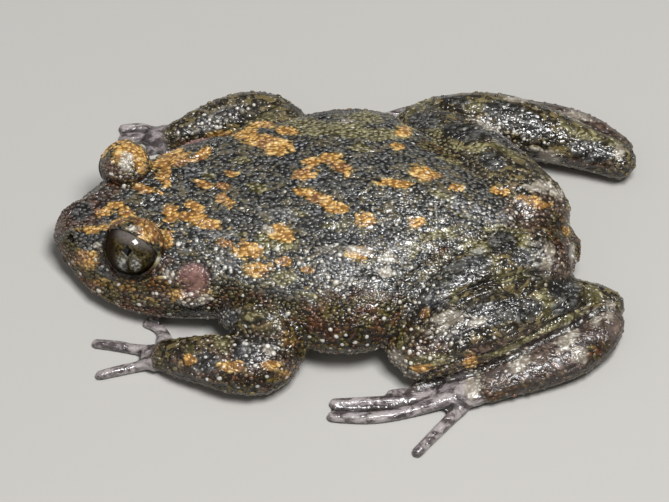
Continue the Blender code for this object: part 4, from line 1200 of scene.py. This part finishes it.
class FROG_OT_granules(bpy.types.Operator):
    """Sets granules on the flanks, cheeks and limbs, lens-shaped scales on the back, and white pearls"""

    bl_idname = "frog.granules"
    bl_label = "Frog granules"

    def execute(self, context):
        settings = context.scene.frog_granules
        skin = bpy.data.objects["skin"]
        random = np.random.default_rng(settings.seed)
        places, normals = arrays_of(skin.data)
        marks = {name: get_attribute(skin.data, name) for name in GRANULE_MARKS}
        bare = np.clip(1 - 1.5 * marks["digit"] - marks["drum"] - marks["belly"], 0, 1)
        hidden = np.zeros(len(places), bool)
        off_lids = np.ones(len(places))
        for sign, centre in EYE_CENTRES.items():
            reach = distances(places, centre)
            hidden |= reach < EYE_RADII[sign] + 0.05
            off_lids *= smooth_step(2.9, 3.2, reach) if sign < 0 else 1
        bare[hidden | (places[:, 2] < 0.25) | (marks["low"] > 1.05)] = 0
        dense = smooth_step(0.45, 0.75, marks["granular"])
        span = settings.large - settings.small
        upper = smooth_step(-0.1, 0.4, normals[:, 2])
        on_limbs = smooth_step(0.3, 0.9, marks["limb"]) * (1 - 0.7 * dense)
        on_back = np.clip(1 - marks["limb"] - 0.5 * dense, 0, 1) * upper * off_lids
        # Each group's weights, spacing, greatest number, spread of sizes and share of whitish ones.
        groups = {
            "granules_close": (dense, 0.54, 4600, 1.0, 0.10),
            "granules_limbs": (on_limbs, 0.80, 2000, 1.0, 0.03),
            "scales_back": (on_back, 0.35, 6800, 0.42, 0.004),
        }
        for name, (weights, gap, count, wide, bright) in groups.items():
            sizes = settings.small + span * wide * random.random(len(places)) ** 1.7
            lens = name == "scales_back"
            packed = places * np.array((0.6, 1, 1)) if lens else places
            spacing = gap * (0.5 + sizes / settings.large * 0.5)
            taken = scattered(packed, weights * bare, spacing, count, random)
            stretches = (1.5 if lens else 1.0) + 0.5 * random.random(len(taken))
            turns = random.normal(0, 0.3 if lens else 1.5, len(taken))
            # Tints are pale granule tops, partly painted highlight: a share of bright ones, the rest faint.
            dull = 0.25 * random.random(len(taken)) ** 3 * (not lens)
            tints = np.where(random.random(len(taken)) < bright, 0.85, dull) * (1 - marks["low"][taken])
            height = settings.height * (0.7 if lens else 1.0)
            add_granules(name, skin, taken, sizes[taken], stretches, turns, height, tints)
        tree = BVHTree.FromObject(skin, context.evaluated_depsgraph_get())
        finder = finder_of(places)
        hits = [(on_surface(tree, u, v), radius) for u, v, radius in PEARLS]
        seen = [(finder.find(hit)[1], radius) for hit, radius in hits if hit is not None]
        taken = np.array([index for index, _ in seen])
        sizes = np.array([radius * PIXEL * settings.pearl for _, radius in seen])
        stretches = 1 + 0.3 * random.random(len(taken))
        # The pearls' white tops are partly painted glints.
        turns, tints = random.normal(0, 1.5, len(taken)), 0.65 + 0.35 * random.random(len(taken))
        add_granules("pearls", skin, taken, sizes, stretches, turns, settings.height, tints)
        return {"FINISHED"}


def lid_path(tree, sign):
    """The line on which the skin leaves the eyeball, as points of a closed loop."""
    centre, facing = EYE_CENTRES[sign], EYE_FACING[sign]
    across = facing.cross(Vector((0, 0, 1))).normalized()
    upward = across.cross(facing)

    def ray(turn, tilt):
        sideways = across * math.cos(turn) + upward * math.sin(turn)
        return facing * math.cos(tilt) + sideways * math.sin(tilt)

    def covered(turn, tilt):
        reach = tree.ray_cast(centre * MM, ray(turn, tilt))[3]
        return reach is None or reach > (EYE_RADII[sign] + 0.05) * MM

    turns = [2 * math.pi * k / LID_POINTS for k in range(LID_POINTS)]
    steps = [math.radians(angle) for angle in range(30, 125)]
    tilts = np.array([next((tilt for tilt in steps if covered(turn, tilt)), steps[-1]) for turn in turns])
    for _ in range(4):
        tilts = 0.5 * tilts + 0.25 * (np.roll(tilts, 1) + np.roll(tilts, -1))
    return [centre + ray(turn, tilt) * (EYE_RADII[sign] + 0.07) for turn, tilt in zip(turns, tilts)]


def crescent_share(places, sign):
    """How well places lie in the pale crescent at the back corner of an eye."""
    u, v, _ = in_photo(places if sign < 0 else mirrored(places))
    across, down = (u - CRESCENT_AT[0]) / CRESCENT_SIZE[0], (v - CRESCENT_AT[1]) / CRESCENT_SIZE[1]
    return np.exp(-(across**2) - down**2)


def lid_rim(name, skin, tree, sign, radius):
    """A smooth rim round an eye's opening, coloured like the skin that it ends."""
    centre = np.array(EYE_CENTRES[sign])
    path = np.array(lid_path(tree, sign))
    crescent = crescent_share(path, sign)
    lower = 1 - smooth_step(-0.4, 0.9, path[:, 2] - centre[2])
    widths = 1.0 + 0.45 * lower * (1 - crescent) + 0.8 * crescent
    curve = bpy.data.curves.new(name, "CURVE")
    curve.dimensions = "3D"
    curve.bevel_depth = radius * MM
    curve.bevel_resolution = 2
    spline = curve.splines.new("POLY")
    spline.points.add(len(path) - 1)
    spline.use_cyclic_u = True
    for point, place, width in zip(spline.points, path, widths):
        point.co = (*(place * MM), 1.0)
        point.radius = width
    link_new(name, curve)
    bpy.ops.object.convert(target="MESH")
    rim = bpy.context.object
    places = arrays_of(rim.data)[0]
    finder = finder_of(arrays_of(skin.data)[0])
    nearest = [finder.find(place)[1] for place in places + (places - centre) * 0.12]
    for mark in SKIN_MARKS:
        set_attribute(rim.data, mark, get_attribute(skin.data, mark)[nearest])
    crescent = crescent_share(places, sign)
    changes = {
        "pale": crescent * 0.60,
        "olive": crescent * 1.5,
        "dark": np.zeros(len(places)),
        "ochre": get_attribute(rim.data, "ochre") * (1 - crescent),
        "shade": 0.3 + 0.7 * crescent,
        # The rim's lower part gets painted shade, except in the crescent.
        "low": smooth_step(0.8, 0.2, places[:, 2] - centre[2]) * (1 - crescent),
        "granule": 0.9 * crescent,
        "cavity": np.full(len(places), 0.7),
    }
    for mark, values in changes.items():
        set_attribute(rim.data, mark, values)
    rim.data.shade_smooth()
    rim.data.materials.append(skin.data.materials[0])
    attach(rim, BODY)


class FROG_OT_eyes(bpy.types.Operator):
    """Builds the two eyeballs and the rims of their lids"""

    bl_idname = "frog.eyes"
    bl_label = "Frog eyes"

    def execute(self, context):
        settings = context.scene.frog_eyes
        skin = bpy.data.objects["skin"]
        tree = BVHTree.FromObject(skin, context.evaluated_depsgraph_get())
        for node, sign in EYES.items():
            lid_rim(f"{node}_lids", skin, tree, sign, settings.lid)
            centre, gaze = EYE_CENTRES[sign], EYE_GAZE[sign]
            bpy.ops.object.select_all(action="DESELECT")
            bpy.ops.mesh.primitive_uv_sphere_add(segments=72, ring_count=48, radius=EYE_RADII[sign] * MM)
            eye = bpy.context.object
            eye.name = eye.data.name = f"{node}_ball"
            places = arrays_of(eye.data)[0]
            facing = np.clip(places @ np.array(gaze) / EYE_RADII[sign], -1, 1)
            places *= (1 + settings.bulge * smooth_step(0.55, 1.0, facing))[:, None]
            places += np.array(centre)
            eye.data.vertices.foreach_set("co", (places * MM).ravel())
            eye.data.update()
            eye.data.shade_smooth()
            eye.data.materials.append(eye_material(settings, f"frog_{node}", centre, gaze))
            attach(eye, BODY)
            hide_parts(node)
        return {"FINISHED"}


def add_light(name, size, watts, place, aim):
    """A square area light at a place, in millimetres, turned to its aim."""
    light = bpy.data.lights.new(name, "AREA")
    light.size = size * MM
    light.energy = watts
    lamp = link_new(name, light)
    lamp.location = place * MM
    lamp.rotation_euler = (aim - place).to_track_quat("-Z", "Y").to_euler()


class FROG_OT_stage(bpy.types.Operator):
    """Builds the pale floor, the lights and the camera"""

    bl_idname = "frog.stage"
    bl_label = "Frog stage"

    def execute(self, context):
        settings = context.scene.frog_stage
        scene = context.scene
        bpy.ops.object.select_all(action="DESELECT")
        bpy.ops.mesh.primitive_plane_add(size=3.0)
        floor = bpy.context.object
        floor.name = "floor"
        floor.data.materials.append(plain_material("pale_floor", settings.floor, 0.65))
        aim = CAMERA_AIM
        add_light("key", 150, settings.key, aim + Vector((80, -110, 420)), aim)
        add_light("soft", 600, settings.soft, aim + Vector((-120, -60, 430)), aim)
        add_light("front", 200, settings.front, aim + Vector((-260, -360, 260)), aim)
        world = bpy.data.worlds.new("even_light")
        world.use_nodes = True
        background = world.node_tree.nodes["Background"]
        background.inputs["Color"].default_value = (1.0, 0.98, 0.95, 1.0)
        background.inputs["Strength"].default_value = settings.world
        scene.world = world
        scene.view_settings.view_transform = "Standard"
        camera = bpy.data.cameras.new("camera")
        camera.sensor_width = SENSOR
        camera.lens = SENSOR * CAMERA_DISTANCE / (PHOTO_WIDTH * PIXEL)
        camera.clip_start = 0.01
        holder = link_new("camera", camera)
        holder.location = CAMERA_PLACE * MM
        holder.rotation_euler = (-CAMERA_BACK).to_track_quat("-Z", "Y").to_euler()
        scene.camera = holder
        return {"FINISHED"}


class FROG_PT_panel(bpy.types.Panel):
    """Lists the frog's operators and settings"""

    bl_label = "Rock Frog"
    bl_space_type = "VIEW_3D"
    bl_region_type = "UI"
    bl_category = "Frog"

    def draw(self, context):
        scene = context.scene
        for operator, settings in PIECES:
            self.layout.operator(operator.bl_idname)
            group = getattr(scene, settings)
            for name in group.__annotations__:
                self.layout.prop(group, name)


PIECES = [
    (FROG_OT_skin, "frog_skin"),
    (FROG_OT_granules, "frog_granules"),
    (FROG_OT_eyes, "frog_eyes"),
    (FROG_OT_stage, "frog_stage"),
]
GROUPS = {
    "frog_skin": FrogSkinSettings,
    "frog_granules": FrogGranuleSettings,
    "frog_eyes": FrogEyeSettings,
    "frog_stage": FrogStageSettings,
}
CLASSES = [*GROUPS.values(), *(operator for operator, _ in PIECES), FROG_PT_panel]


def register():
    """Registers the classes and gives the scene its settings."""
    for cls in CLASSES:
        bpy.utils.register_class(cls)
    for name, cls in GROUPS.items():
        setattr(bpy.types.Scene, name, PointerProperty(type=cls))


def unregister():
    """Removes what register added."""
    for name in GROUPS:
        delattr(bpy.types.Scene, name)
    for cls in reversed(CLASSES):
        bpy.utils.unregister_class(cls)


def main():
    """Builds every piece in order."""
    register()
    bpy.ops.frog.skin()
    bpy.ops.frog.granules()
    bpy.ops.frog.eyes()
    bpy.ops.frog.stage()
    bpy.context.view_layer.update()


if __name__ == "__main__":
    main()
